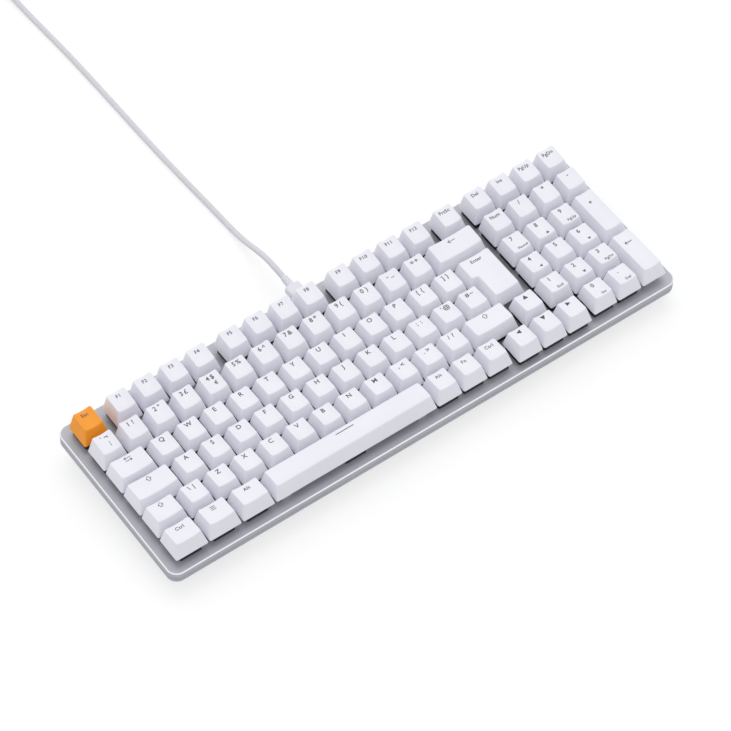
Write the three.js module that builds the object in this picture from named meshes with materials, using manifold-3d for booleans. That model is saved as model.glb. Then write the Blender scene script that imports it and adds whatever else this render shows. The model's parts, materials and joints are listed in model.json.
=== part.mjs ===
// A 96 % mechanical keyboard with the ISO layout: a plastic tray, an aluminium top plate, plate-mounted
// switches, sculpted keycaps, two flip-out feet, and a detachable lead. Millimetres, +X to the right,
// +Y to the back, +Z up; the origin is on the desk under the middle of the keyboard.
import * as THREE from 'three';
import { mergeVertices } from 'three/addons/utils/BufferGeometryUtils.js';
import Module from 'manifold-3d';

const wasm = await Module();
wasm.setup();

// ---- Driving dimensions ----
const KEY_PITCH = 19.05;          // centre to centre of two letter keys
const FIELD_UNITS = 19.25;        // width of the key field, in pitches
const FIELD_ROWS = 6;
const TOP_ROW_SHIFT = 1.6;        // the function row stands this much further back
const ARROW_SHIFT = 2.2;          // the arrow keys stand this much nearer the user
const DECK_TILT = THREE.MathUtils.degToRad(3);
const FRONT_HEIGHT = 18.5;        // desk to the plate's top, at its front edge

const SIDE_MARGIN = 5.5;          // key field to the outside of the wall
const FRONT_MARGIN = 4.9;
const BACK_MARGIN = 6.9;
const CORNER_RADIUS = 7;
const EDGE_CHAMFER = 0.7;
const PLATE_THICKNESS = 1.5;
const RIM_DEPTH = 4.8;            // the plate's turned-down edge, from its top
const RIM_WALL = 2;

const BAND_DEPTH = 8.2;           // plate top to the lower edge of the upright wall
const TRAY_WALL = 2.5;
const TRAY_FLOOR = 2.5;
const UNDERCUT = 10;              // how far the wall leans in below the band
const BACK_UNDERCUT = 4;
const PAD_HEIGHT = 2;             // desk to the tray's underside
const FIT_GAP = 0.3;              // clearance where one piece seats on or in another

const BOARD_DROP = 5;             // plate top to the circuit board's top
const BOARD_THICKNESS = 1.6;
const BOSS_RADIUS = 3;
const BOSS_SPACING_X = 100;
const BOSS_SPACING_Y = 76;
const BOARD_INSET = 1;            // board edge to the tray's wall, beyond the fit gap

const HOUSING_WIDTH = 13.6;       // switch body through the plate
const FLANGE_WIDTH = 15;
const HOUSING_TOP_WIDTH = 11;
const HOUSING_HEIGHT = 6;         // above the plate
const STEM_WIDTH = 6.4;
const STEM_DEPTH = 5.2;
const STEM_REACH = 4.7;           // how far a stem stands inside its housing at rest
const TRAVEL = 4;
const WELL_SPARE = 0.7;           // left under a stem that is fully down
const WEB_HEIGHT = 2;

const SKIRT_HEIGHT = 6;           // plate top to the keycap's lower edge, at rest
const CAP_GAP = 0.86;             // between the skirts of two neighbouring caps
const CAP_WALL = 1.5;
const CAP_ROOF = 1.6;
const CAP_SIDE_SLOPE = 2.85;      // the top face is this much narrower on each side

const STABILISER_SPAN = 11.9;     // two-unit keys, from the middle to each stem
const SPACE_STABILISER_SPAN = 50;
const STABILISER_WIDTH = 6.6;
const STABILISER_FRONT = 6.4;     // stem line to the housing's wire side, above the plate
const STABILISER_BASE = 8.4;      // the same under the plate, where the wire clips in
const STABILISER_BACK = 4.2;
const STABILISER_HEIGHT = 4.2;
const STABILISER_STEM = 3.2;
const STABILISER_STEM_REACH = 2.2;
const STABILISER_WELL_SPARE = 0.8;
const STABILISER_LEDGE = 1;       // the wide base starts this far under the plate
const WIRE_DROP = 0.2;            // plate's underside to the wire, beyond the fit gap
const WIRE_SIZE = 1.5;

const FOOT_WIDTH = 32;
const FOOT_LENGTH = 25;
const FOOT_THICKNESS = 4.6;
const FOOT_SPACING = 224;
const FOOT_AXIS_INSET = 12;       // hinge line, forward of the tray's rear lower edge
const FOOT_PIN_RADIUS = 1.5;
const FOOT_PIN_REACH = 2;
const POCKET_WALL = 3.5;
const POCKET_SPARE = 1.4;         // above the folded foot
const FOOT_RECESS = 0.4;          // tray's underside to the folded foot
const FOOT_SIDE_ROOM = 0.5;
const FOOT_END_GAP = 0.8;

const FRONT_PAD_WIDTH = 300;
const REAR_PAD_WIDTH = 160;       // between the two foot pockets
const PAD_DEPTH = 9;
const PAD_RECESS = 0.6;
const PAD_EDGE = 5;               // tray's lower edge to the strip

const SOCKET_X = -7;
const SOCKET_WIDTH = 10;
const SOCKET_HEIGHT = 4.2;
const SOCKET_DEPTH = 7.5;
const SLOT_CLEARANCE = 0.6;
const SOCKET_SETBACK = 1.6;       // from the wall's upright inner face, clear of its lean
const TIP_WIDTH = 7.8;
const TIP_HEIGHT = 2.2;
const TIP_LENGTH = 9;
const PLUG_WIDTH = 10.4;
const PLUG_HEIGHT = 6.2;
const PLUG_LENGTH = 12;
const RELIEF_LENGTH = 9;
const RELIEF_THICK = 0.8;         // beyond the cord's radius, at the grip
const RELIEF_THIN = 0.2;          // and at its end

const CORD_DIAMETER = 4;
const COIL_RADIUS = 22;           // middle of the turns
const COIL_COLUMNS = 5;
const COIL_LAYERS = 2;
const COIL_CENTRE = new THREE.Vector3(21, 424, 0);
const TIE_THICKNESS = 0.8;
const TIE_WIDTH = 10;
const A_GRIP_LENGTH = 28;
const A_GRIP_WIDTH = 16;
const A_GRIP_HEIGHT = 8;
const A_SHELL_LENGTH = 18;
const A_SHELL_WIDTH = 12;
const A_SHELL_HEIGHT = 4.5;
const A_RELIEF_LENGTH = 6.5;
const A_RELIEF_WALL = 0.5;
const A_GRIP_START = 24;          // coil's centre to the grip
const A_GRIP_LIFT = 0.1;
const COIL_SLACK = 0.2;

// ---- Derived from the driving dimensions ----
const FIELD_WIDTH = FIELD_UNITS * KEY_PITCH;
const FIELD_DEPTH = FIELD_ROWS * KEY_PITCH;
const OUTER_X = FIELD_WIDTH / 2 + SIDE_MARGIN;
const OUTER_FRONT = FIELD_DEPTH / 2 + FRONT_MARGIN;
const OUTER_BACK = FIELD_DEPTH / 2 + BACK_MARGIN;
const DECK_HEIGHT = FRONT_HEIGHT + OUTER_FRONT * Math.sin(DECK_TILT);
const CHASSIS_SHIFT = -((OUTER_BACK - OUTER_FRONT) * Math.cos(DECK_TILT)
  + (BAND_DEPTH + EDGE_CHAMFER) * Math.sin(DECK_TILT)) / 2;
const BOARD_TOP = -BOARD_DROP;
const BOARD_BOTTOM = BOARD_TOP - BOARD_THICKNESS;
const HOUSING_BOTTOM = BOARD_TOP + FIT_GAP;
const HOUSING_HOLE = HOUSING_WIDTH + 2 * FIT_GAP;
const STEM_BOTTOM = HOUSING_HEIGHT - STEM_REACH;
const WELL_FLOOR = STEM_BOTTOM - TRAVEL - WELL_SPARE;
const SOCKET_CENTRE_Z = BOARD_BOTTOM - FIT_GAP - SOCKET_HEIGHT / 2;
const TRAY_BOTTOM_FRONT = -OUTER_FRONT + UNDERCUT;
const TRAY_BOTTOM_BACK = OUTER_BACK - BACK_UNDERCUT;

// Where a sculpted cap's top face begins and ends, measured in from its cell and up from its skirt.
const PROFILE_TALL = { front: 3.9, frontHeight: 11.2, back: 1.35, backHeight: 12.1 };
const PROFILE_UPPER = { front: 3.6, frontHeight: 10.05, back: 1.3, backHeight: 9.35 };
const PROFILE_HOME = { front: 4.2, frontHeight: 10, back: 0.75, backHeight: 8.8 };
const PROFILE_LOWER = { front: 4, frontHeight: 11.2, back: 1.35, backHeight: 9.7 };
const ROW_PROFILES = [PROFILE_TALL, PROFILE_TALL, PROFILE_UPPER, PROFILE_HOME, PROFILE_LOWER, PROFILE_LOWER];

// Every key, as runs of like keys: the row, where the run starts (in pitches from the left) and one width
// for each key. A run of several keys is one moving piece.
const KEY_RUNS = [
  { node: 'key_escape', row: 0, start: 0, widths: [1] },
  { node: 'keys_f1_to_f4', row: 0, start: 1.25, widths: [1, 1, 1, 1] },
  { node: 'keys_f5_to_f8', row: 0, start: 5.5, widths: [1, 1, 1, 1] },
  { node: 'keys_f9_to_f12', row: 0, start: 9.75, widths: [1, 1, 1, 1] },
  { node: 'key_print_screen', row: 0, start: 14, widths: [1] },
  { node: 'keys_delete_to_page_down', row: 0, start: 15.25, widths: [1, 1, 1, 1] },
  { node: 'keys_backtick_to_5', row: 1, start: 0, widths: [1, 1, 1, 1, 1, 1] },
  { node: 'keys_6_to_equals', row: 1, start: 6, widths: [1, 1, 1, 1, 1, 1, 1] },
  { node: 'key_backspace', row: 1, start: 13, widths: [2] },
  { node: 'keys_numpad_top', row: 1, start: 15.25, widths: [1, 1, 1, 1] },
  { node: 'key_tab', row: 2, start: 0, widths: [1.5] },
  { node: 'keys_q_to_t', row: 2, start: 1.5, widths: [1, 1, 1, 1, 1] },
  { node: 'keys_y_to_bracket', row: 2, start: 6.5, widths: [1, 1, 1, 1, 1, 1, 1] },
  { node: 'key_enter', row: 2, start: 13.75, widths: [1.25], tall: true, step: 0.25 },
  { node: 'keys_numpad_7_to_9', row: 2, start: 15.25, widths: [1, 1, 1] },
  { node: 'key_numpad_plus', row: 2, start: 18.25, widths: [1], tall: true },
  { node: 'key_caps_lock', row: 3, start: 0, widths: [1.75] },
  { node: 'keys_a_to_g', row: 3, start: 1.75, widths: [1, 1, 1, 1, 1] },
  { node: 'keys_h_to_hash', row: 3, start: 6.75, widths: [1, 1, 1, 1, 1, 1, 1] },
  { node: 'keys_numpad_4_to_6', row: 3, start: 15.25, widths: [1, 1, 1] },
  { node: 'key_shift_left', row: 4, start: 0, widths: [1.25] },
  { node: 'keys_backslash_to_b', row: 4, start: 1.25, widths: [1, 1, 1, 1, 1, 1] },
  { node: 'keys_n_to_slash', row: 4, start: 7.25, widths: [1, 1, 1, 1, 1] },
  { node: 'key_shift_right', row: 4, start: 12.25, widths: [1.75] },
  { node: 'key_arrow_up', row: 4, start: 14.125, widths: [1], shift: ARROW_SHIFT },
  { node: 'keys_numpad_1_to_3', row: 4, start: 15.25, widths: [1, 1, 1] },
  { node: 'key_numpad_enter', row: 4, start: 18.25, widths: [1], tall: true },
  { node: 'key_control_left', row: 5, start: 0, widths: [1.25] },
  { node: 'key_system', row: 5, start: 1.25, widths: [1.25] },
  { node: 'key_alt_left', row: 5, start: 2.5, widths: [1.25] },
  { node: 'key_space', row: 5, start: 3.75, widths: [6.25] },
  { node: 'keys_right_modifiers', row: 5, start: 10, widths: [1, 1, 1] },
  { node: 'key_arrow_left', row: 5, start: 13.125, widths: [1], shift: ARROW_SHIFT },
  { node: 'key_arrow_down', row: 5, start: 14.125, widths: [1], shift: ARROW_SHIFT },
  { node: 'key_arrow_right', row: 5, start: 15.125, widths: [1], shift: ARROW_SHIFT },
  { node: 'keys_numpad_0_and_point', row: 5, start: 16.25, widths: [1, 1] },
];

// ---- Finishes ----
const finish = (color, roughness, metalness) =>
  new THREE.MeshStandardMaterial({ color, roughness, metalness, flatShading: true });
const ANODISED = finish(0xa9abb4, 0.38, 0.9);
const TRAY_PLASTIC = finish(0x9a9ca4, 0.55, 0);
const CAP_WHITE = finish(0xeceaf3, 0.5, 0);
const CAP_ORANGE = finish(0xf79a1e, 0.5, 0);
const SWITCH_PLASTIC = finish(0x2a2a30, 0.45, 0);
const STABILISER_PLASTIC = finish(0xd8d8dc, 0.4, 0);
const BOARD = finish(0x1b1c20, 0.5, 0);
const STEEL = finish(0xc9cacf, 0.25, 1);
const RUBBER = finish(0x303034, 0.85, 0);
const LEAD_SLEEVE = finish(0xdcdae6, 0.8, 0);

// ---- Solids ----
// The chassis is centred over the origin; the deck tilts inside it. The lead lies on the desk.
const keyboard = new THREE.Group();
const chassis = new THREE.Group();
chassis.position.y = CHASSIS_SHIFT;
keyboard.add(chassis);
const deck = new THREE.Group();
deck.rotation.x = DECK_TILT;
deck.position.z = DECK_HEIGHT;
chassis.add(deck);

function addPiece(parent, name, geometry, material) {
  const mesh = new THREE.Mesh(geometry, material);
  mesh.name = name;
  parent.add(mesh);
  return mesh;
}

function toSolid(geometry) {
  const bare = geometry.clone();
  bare.deleteAttribute('normal');
  bare.deleteAttribute('uv');
  const merged = mergeVertices(bare, 1e-4);
  const vertProperties = new Float32Array(merged.attributes.position.array);
  const triVerts = new Uint32Array(merged.index.array);
  return new wasm.Manifold(new wasm.Mesh({ numProp: 3, vertProperties, triVerts }));
}

function toGeometry(solid) {
  const mesh = solid.getMesh();
  const geometry = new THREE.BufferGeometry();
  geometry.setAttribute('position', new THREE.BufferAttribute(new Float32Array(mesh.vertProperties), 3));
  geometry.setIndex(new THREE.BufferAttribute(new Uint32Array(mesh.triVerts), 1));
  geometry.computeVertexNormals();
  return geometry;
}

function join(pieces) {
  return toGeometry(pieces.map(toSolid).reduce((whole, piece) => whole.add(piece)));
}

function cut(geometry, tools) {
  return toGeometry(tools.map(toSolid).reduce((whole, tool) => whole.subtract(tool), toSolid(geometry)));
}

// A box given by its two corners.
function block(x0, x1, y0, y1, z0, z1) {
  const box = new THREE.BoxGeometry(x1 - x0, y1 - y0, z1 - z0);
  box.translate((x0 + x1) / 2, (y0 + y1) / 2, (z0 + z1) / 2);
  return box;
}

// A round bar along X or Z.
function roundBar(radius, length, axis, x, y, z) {
  const bar = new THREE.CylinderGeometry(radius, radius, length, 10);
  if (axis === 'x') bar.rotateZ(Math.PI / 2);
  if (axis === 'z') bar.rotateX(Math.PI / 2);
  bar.translate(x, y, z);
  return bar;
}

// A closed skin through rings of points. Each ring runs anticlockwise seen from above. The first ring's
// cap faces up; the skin then runs down the outside, and the last cap faces down.
function loft(rings) {
  const count = rings[0].length;
  const positions = rings.flatMap((ring) => ring.flatMap((point) => [point.x, point.y, point.z]));
  const faces = [];
  for (let level = 0; level + 1 < rings.length; level += 1) {
    for (let i = 0; i < count; i += 1) {
      const next = (i + 1) % count;
      const upper = level * count;
      const lower = upper + count;
      faces.push(upper + i, lower + i, lower + next);
      faces.push(upper + i, lower + next, upper + next);
    }
  }
  const last = (rings.length - 1) * count;
  for (let i = 1; i + 1 < count; i += 1) {
    faces.push(0, i, i + 1);
    faces.push(last, last + i + 1, last + i);
  }
  const geometry = new THREE.BufferGeometry();
  geometry.setAttribute('position', new THREE.Float32BufferAttribute(positions, 3));
  geometry.setIndex(faces);
  geometry.computeVertexNormals();
  return geometry;
}

function rectangleRing(x0, x1, y0, y1, z) {
  return [[x0, y0], [x1, y0], [x1, y1], [x0, y1]].map(([x, y]) => new THREE.Vector3(x, y, z));
}

// The keyboard's outline, moved in by the given amounts, as a ring of points in the deck's plane.
function outlineRing(inset, z, frontInset = inset, backInset = inset) {
  const radius = Math.max(CORNER_RADIUS - inset, 1);
  const x = OUTER_X - inset - radius;
  const front = -OUTER_FRONT + frontInset + radius;
  const back = OUTER_BACK - backInset - radius;
  const corners = [[x, front, -90], [x, back, 0], [-x, back, 90], [-x, front, 180]];
  const STEPS = 4;
  return corners.flatMap(([cx, cy, from]) => Array.from({ length: STEPS + 1 }, (_, i) => {
    const angle = THREE.MathUtils.degToRad(from + (90 * i) / STEPS);
    return new THREE.Vector3(cx + radius * Math.cos(angle), cy + radius * Math.sin(angle), z);
  }));
}

// ---- Keys and switches ----
// One record for each key: its cell in the deck's plane, and the middle of its switch.
function keysOfRun(run) {
  let x = run.start * KEY_PITCH - FIELD_WIDTH / 2;
  const shift = (run.row === 0 ? TOP_ROW_SHIFT : 0) - (run.shift ?? 0);
  const back = FIELD_DEPTH / 2 - run.row * KEY_PITCH + shift;
  const depth = (run.tall ? 2 : 1) * KEY_PITCH;
  return run.widths.map((width) => {
    const cell = { x0: x, x1: x + width * KEY_PITCH, y0: back - depth, y1: back };
    x = cell.x1;
    return {
      ...cell,
      row: run.row,
      tall: run.tall ?? false,
      step: (run.step ?? 0) * KEY_PITCH,
      shifted: run.shift !== undefined,
      midX: (cell.x0 + cell.x1) / 2,
      midY: (cell.y0 + cell.y1) / 2,
    };
  });
}

const RUNS = KEY_RUNS.map((run) => ({ ...run, keys: keysOfRun(run) }));

// The heights of a cap's top face at its front and back, and of its ceiling.
function capHeights(cell) {
  const frontTop = SKIRT_HEIGHT + ROW_PROFILES[cell.tall ? cell.row + 1 : cell.row].frontHeight;
  const backTop = SKIRT_HEIGHT + ROW_PROFILES[cell.row].backHeight;
  return { frontTop, backTop, ceiling: Math.min(frontTop, backTop) - CAP_ROOF };
}

// A sculpted cap over a cell: outer skin down to the skirt, then up inside to its ceiling.
function capShell(cell) {
  const upper = ROW_PROFILES[cell.row];
  const lower = ROW_PROFILES[cell.tall ? cell.row + 1 : cell.row];
  const edge = CAP_GAP / 2;
  const side = edge + CAP_SIDE_SLOPE;
  const { frontTop, backTop, ceiling } = capHeights(cell);
  const top = rectangleRing(cell.x0 + side, cell.x1 - side, cell.y0 + lower.front, cell.y1 - upper.back, 0);
  top.forEach((point, i) => { point.z = i < 2 ? frontTop : backTop; });
  const skirt = (inset, z) =>
    rectangleRing(cell.x0 + inset, cell.x1 - inset, cell.y0 + inset, cell.y1 - inset, z);
  const inner = rectangleRing(
    cell.x0 + side + CAP_WALL, cell.x1 - side - CAP_WALL,
    cell.y0 + lower.front + CAP_WALL, cell.y1 - upper.back - CAP_WALL, ceiling,
  );
  return loft([top, skirt(edge, SKIRT_HEIGHT), skirt(edge + CAP_WALL, SKIRT_HEIGHT), inner]);
}

// A stem under a cap's ceiling, sunk halfway into its roof.
function stem(key, dx, dy, width, depth, bottom) {
  const x = key.midX + dx;
  const y = key.midY + dy;
  const top = capHeights(key).ceiling + CAP_ROOF / 2;
  return block(x - width / 2, x + width / 2, y - depth / 2, y + depth / 2, bottom, top);
}

// The two stabiliser stems of a wide or tall key, as offsets from its middle.
function stabiliserOffsets(key) {
  if (key.tall) return [[0, STABILISER_SPAN], [0, -STABILISER_SPAN]];
  const width = key.x1 - key.x0;
  if (width > 4 * KEY_PITCH) return [[SPACE_STABILISER_SPAN, 0], [-SPACE_STABILISER_SPAN, 0]];
  if (width > 1.9 * KEY_PITCH) return [[STABILISER_SPAN, 0], [-STABILISER_SPAN, 0]];
  return [];
}

const STABILISER_STEM_BOTTOM = STABILISER_HEIGHT - STABILISER_STEM_REACH;
const STABILISER_WELL_FLOOR = STABILISER_STEM_BOTTOM - TRAVEL - STABILISER_WELL_SPARE;

function keyStems(key) {
  const sides = stabiliserOffsets(key).map(([dx, dy]) =>
    stem(key, dx, dy, STABILISER_STEM, STABILISER_STEM, STABILISER_STEM_BOTTOM));
  return [stem(key, 0, 0, STEM_WIDTH, STEM_DEPTH, STEM_BOTTOM), ...sides];
}

// The step of the two-row Enter key, which widens it to the left in its upper row. Its right side
// leans along with the wall that it grows from.
function enterStep(key) {
  const edge = CAP_GAP / 2;
  const upper = ROW_PROFILES[key.row];
  const lower = ROW_PROFILES[key.row + 1];
  const left = key.x0 - key.step + edge;
  const right = key.x0 + edge + CAP_WALL * 0.8;
  const front = key.y1 - KEY_PITCH + edge;
  const topBack = key.y1 - upper.back;
  const { backTop, frontTop } = capHeights(key);
  const slope = (frontTop - backTop) / (key.y1 - key.y0 - lower.front - upper.back);
  const top = rectangleRing(left + CAP_SIDE_SLOPE, right + CAP_SIDE_SLOPE, front + CAP_SIDE_SLOPE, topBack, 0);
  top.forEach((point) => { point.z = backTop + slope * (topBack - point.y); });
  return loft([top, rectangleRing(left, right, front, key.y1 - edge, SKIRT_HEIGHT)]);
}

// Neighbouring caps of one moving run share a small bridge between their skirts.
function bridge(left, right) {
  const reach = CAP_GAP / 2 + CAP_WALL / 2;
  return block(left.x1 - reach, right.x0 + reach, left.midY - 2, left.midY + 2, SKIRT_HEIGHT, SKIRT_HEIGHT + 1.5);
}

function buildKeys() {
  RUNS.forEach((run) => {
    const solids = run.keys.flatMap((key) => [capShell(key), ...keyStems(key)]);
    run.keys.slice(1).forEach((key, i) => solids.push(bridge(run.keys[i], key)));
    if (run.step) solids.push(enterStep(run.keys[0]));
    const geometry = join(solids);
    addPiece(deck, run.node, geometry, run.node === 'key_escape' ? CAP_ORANGE : CAP_WHITE);
  });
}

// A switch: its body through the plate, the flange on the plate, a tapered top, and the stem's well.
function switchHousing(key) {
  const ring = (width, z, depth = width) => rectangleRing(
    key.midX - width / 2, key.midX + width / 2, key.midY - depth / 2, key.midY + depth / 2, z,
  );
  const well = STEM_WIDTH + 2 * FIT_GAP;
  const wellDepth = STEM_DEPTH + 2 * FIT_GAP;
  return loft([
    ring(well, WELL_FLOOR, wellDepth),
    ring(well, HOUSING_HEIGHT, wellDepth),
    ring(HOUSING_TOP_WIDTH, HOUSING_HEIGHT),
    ring(FLANGE_WIDTH, FIT_GAP),
    ring(HOUSING_WIDTH, FIT_GAP),
    ring(HOUSING_WIDTH, HOUSING_BOTTOM),
  ]);
}

// Where the web between two switches of a row runs, in from the row's middle. It passes behind the
// stabiliser housings, nearer the middle beside a shifted key, and clear of a tall key between the two.
function webBand(left, right) {
  const half = HOUSING_WIDTH / 2;
  if (right.tall) return [half / 2, half / 2 + WEB_HEIGHT];
  if (left.shifted || right.shifted) return [half / 2 - WEB_HEIGHT, half / 2];
  const between = TALL_KEYS.find((tall) => tall.midX > left.midX && tall.midX < right.midX);
  if (between && between.row === left.row) return [half - 0.8, half - 0.1];
  if (between && between.row === left.row - 1) return [0.1 - half, 0.8 - half];
  return [half - 2.2, half - 0.2];
}

const TALL_KEYS = RUNS.flatMap((run) => run.keys).filter((key) => key.tall);

// The web under the plate that joins two neighbouring switches of a row.
function switchWeb(left, right) {
  const reach = HOUSING_WIDTH / 2 - 0.5;
  const [front, back] = webBand(left, right);
  const y = right.tall ? right.midY : Math.max(left.midY, right.midY);
  return block(
    left.midX + reach, right.midX - reach, y + front, y + back, HOUSING_BOTTOM, HOUSING_BOTTOM + WEB_HEIGHT,
  );
}

function buildSwitches() {
  for (let row = 0; row < FIELD_ROWS; row += 1) {
    const keys = RUNS.filter((run) => run.row === row).flatMap((run) => run.keys);
    keys.sort((a, b) => a.midX - b.midX);
    const solids = keys.map(switchHousing);
    const chain = keys.filter((key) => !key.tall);
    chain.slice(1).forEach((key, i) => solids.push(switchWeb(chain[i], key)));
    keys.filter((key) => key.tall).forEach((key) => {
      const neighbour = chain.filter((other) => other.midX < key.midX).at(-1);
      solids.push(switchWeb(neighbour, key));
    });
    addPiece(deck, `switch_row_${row + 1}`, join(solids), SWITCH_PLASTIC);
  }
}

// A stabiliser: two slotted housings in the plate, joined by their wire. On a tall key the pair stands
// one behind the other and the wire runs on its right.
const STABILISERS = [
  ['stabiliser_space', 'key_space'],
  ['stabiliser_backspace', 'key_backspace'],
  ['stabiliser_enter', 'key_enter'],
  ['stabiliser_numpad_plus', 'key_numpad_plus'],
  ['stabiliser_numpad_enter', 'key_numpad_enter'],
];

const keyOf = (node) => RUNS.find((run) => run.node === node).keys[0];

function stabiliserBlock(key, [dx, dy], reach, grow, z0, z1) {
  const half = STABILISER_WIDTH / 2 + grow;
  const x = key.midX + dx;
  const y = key.midY + dy;
  if (key.tall) return block(x - STABILISER_BACK - grow, x + reach + grow, y - half, y + half, z0, z1);
  return block(x - half, x + half, y - reach - grow, y + STABILISER_BACK + grow, z0, z1);
}

function buildStabilisers() {
  STABILISERS.forEach(([name, keyName]) => {
    const key = keyOf(keyName);
    const offsets = stabiliserOffsets(key);
    const baseTop = -PLATE_THICKNESS - FIT_GAP;
    const wireTop = baseTop - WIRE_DROP;
    const housings = offsets.flatMap((offset) => [
      stabiliserBlock(key, offset, STABILISER_FRONT, 0, baseTop - STABILISER_LEDGE, STABILISER_HEIGHT),
      stabiliserBlock(key, offset, STABILISER_BASE, 0, HOUSING_BOTTOM, baseTop),
    ]);
    const reach = STABILISER_BASE - WIRE_SIZE;
    const [[ax, ay], [bx, by]] = offsets;
    const wire = key.tall
      ? block(key.midX + reach, key.midX + reach + WIRE_SIZE, key.midY + by, key.midY + ay,
        wireTop - WIRE_SIZE, wireTop)
      : block(key.midX + bx, key.midX + ax, key.midY - reach - WIRE_SIZE, key.midY - reach,
        wireTop - WIRE_SIZE, wireTop);
    const well = STABILISER_STEM / 2 + FIT_GAP;
    const wells = offsets.map(([dx, dy]) => block(
      key.midX + dx - well, key.midX + dx + well, key.midY + dy - well, key.midY + dy + well,
      STABILISER_WELL_FLOOR, STABILISER_HEIGHT + 1,
    ));
    addPiece(deck, name, cut(join([...housings, wire]), wells), STABILISER_PLASTIC);
  });
}

// ---- Case ----
// The top plate is a shallow lid: a flat deck with a chamfered, turned-down edge, and a hole for each
// switch and stabiliser housing.
function buildTopPlate() {
  const lid = loft([
    outlineRing(EDGE_CHAMFER, 0),
    outlineRing(0, -EDGE_CHAMFER),
    outlineRing(0, -RIM_DEPTH),
    outlineRing(RIM_WALL, -RIM_DEPTH),
    outlineRing(RIM_WALL, -PLATE_THICKNESS),
  ]);
  const holes = RUNS.flatMap((run) => run.keys).map((key) => block(
    key.midX - HOUSING_HOLE / 2, key.midX + HOUSING_HOLE / 2,
    key.midY - HOUSING_HOLE / 2, key.midY + HOUSING_HOLE / 2, -PLATE_THICKNESS - 1, 1,
  ));
  STABILISERS.forEach(([, keyName]) => {
    const key = keyOf(keyName);
    stabiliserOffsets(key).forEach((offset) =>
      holes.push(stabiliserBlock(key, offset, STABILISER_FRONT, FIT_GAP, -PLATE_THICKNESS - 1, 1)));
  });
  addPiece(deck, 'top_plate', cut(lid, holes), ANODISED);
}

function buildCircuitBoard() {
  const inset = TRAY_WALL + FIT_GAP + BOARD_INSET;
  const board = loft([outlineRing(inset, BOARD_TOP), outlineRing(inset, BOARD_BOTTOM)]);
  addPiece(deck, 'circuit_board', board, BOARD);
}

// From the deck's tilted frame to the desk's.
const deckToDesk = (point) => point.clone()
  .applyAxisAngle(new THREE.Vector3(1, 0, 0), DECK_TILT)
  .add(new THREE.Vector3(0, 0, DECK_HEIGHT));

// The tray's lower rings lie flat on a level plane, under the tilted band.
function levelRing(inset, z) {
  const ring = outlineRing(UNDERCUT + inset, 0, UNDERCUT + inset, BACK_UNDERCUT + inset);
  return ring.map((point) => new THREE.Vector3(point.x, point.y, z));
}

const POCKET_HEIGHT = FOOT_THICKNESS + POCKET_SPARE;
const FOOT_AXIS_Y = TRAY_BOTTOM_BACK - FOOT_AXIS_INSET;
const FOOT_AXIS_Z = PAD_HEIGHT + FOOT_RECESS + FOOT_THICKNESS / 2;
const FOOT_SIDES = [['left', -FOOT_SPACING / 2], ['right', FOOT_SPACING / 2]];
const FOOT_END_ROOM = FOOT_THICKNESS / 2 + FOOT_END_GAP;

function footPocket(x, grow, z0, z1) {
  const half = FOOT_WIDTH / 2 + FOOT_SIDE_ROOM + grow;
  const front = FOOT_AXIS_Y - FOOT_LENGTH - FOOT_END_GAP - grow;
  return block(x - half, x + half, front, FOOT_AXIS_Y + FOOT_END_ROOM + grow, z0, z1);
}

const PAD_STRIPS = [
  ['rubber_strip_front', FRONT_PAD_WIDTH / 2, TRAY_BOTTOM_FRONT + PAD_EDGE],
  ['rubber_strip_rear', REAR_PAD_WIDTH / 2, TRAY_BOTTOM_BACK - PAD_EDGE - PAD_DEPTH],
];

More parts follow.
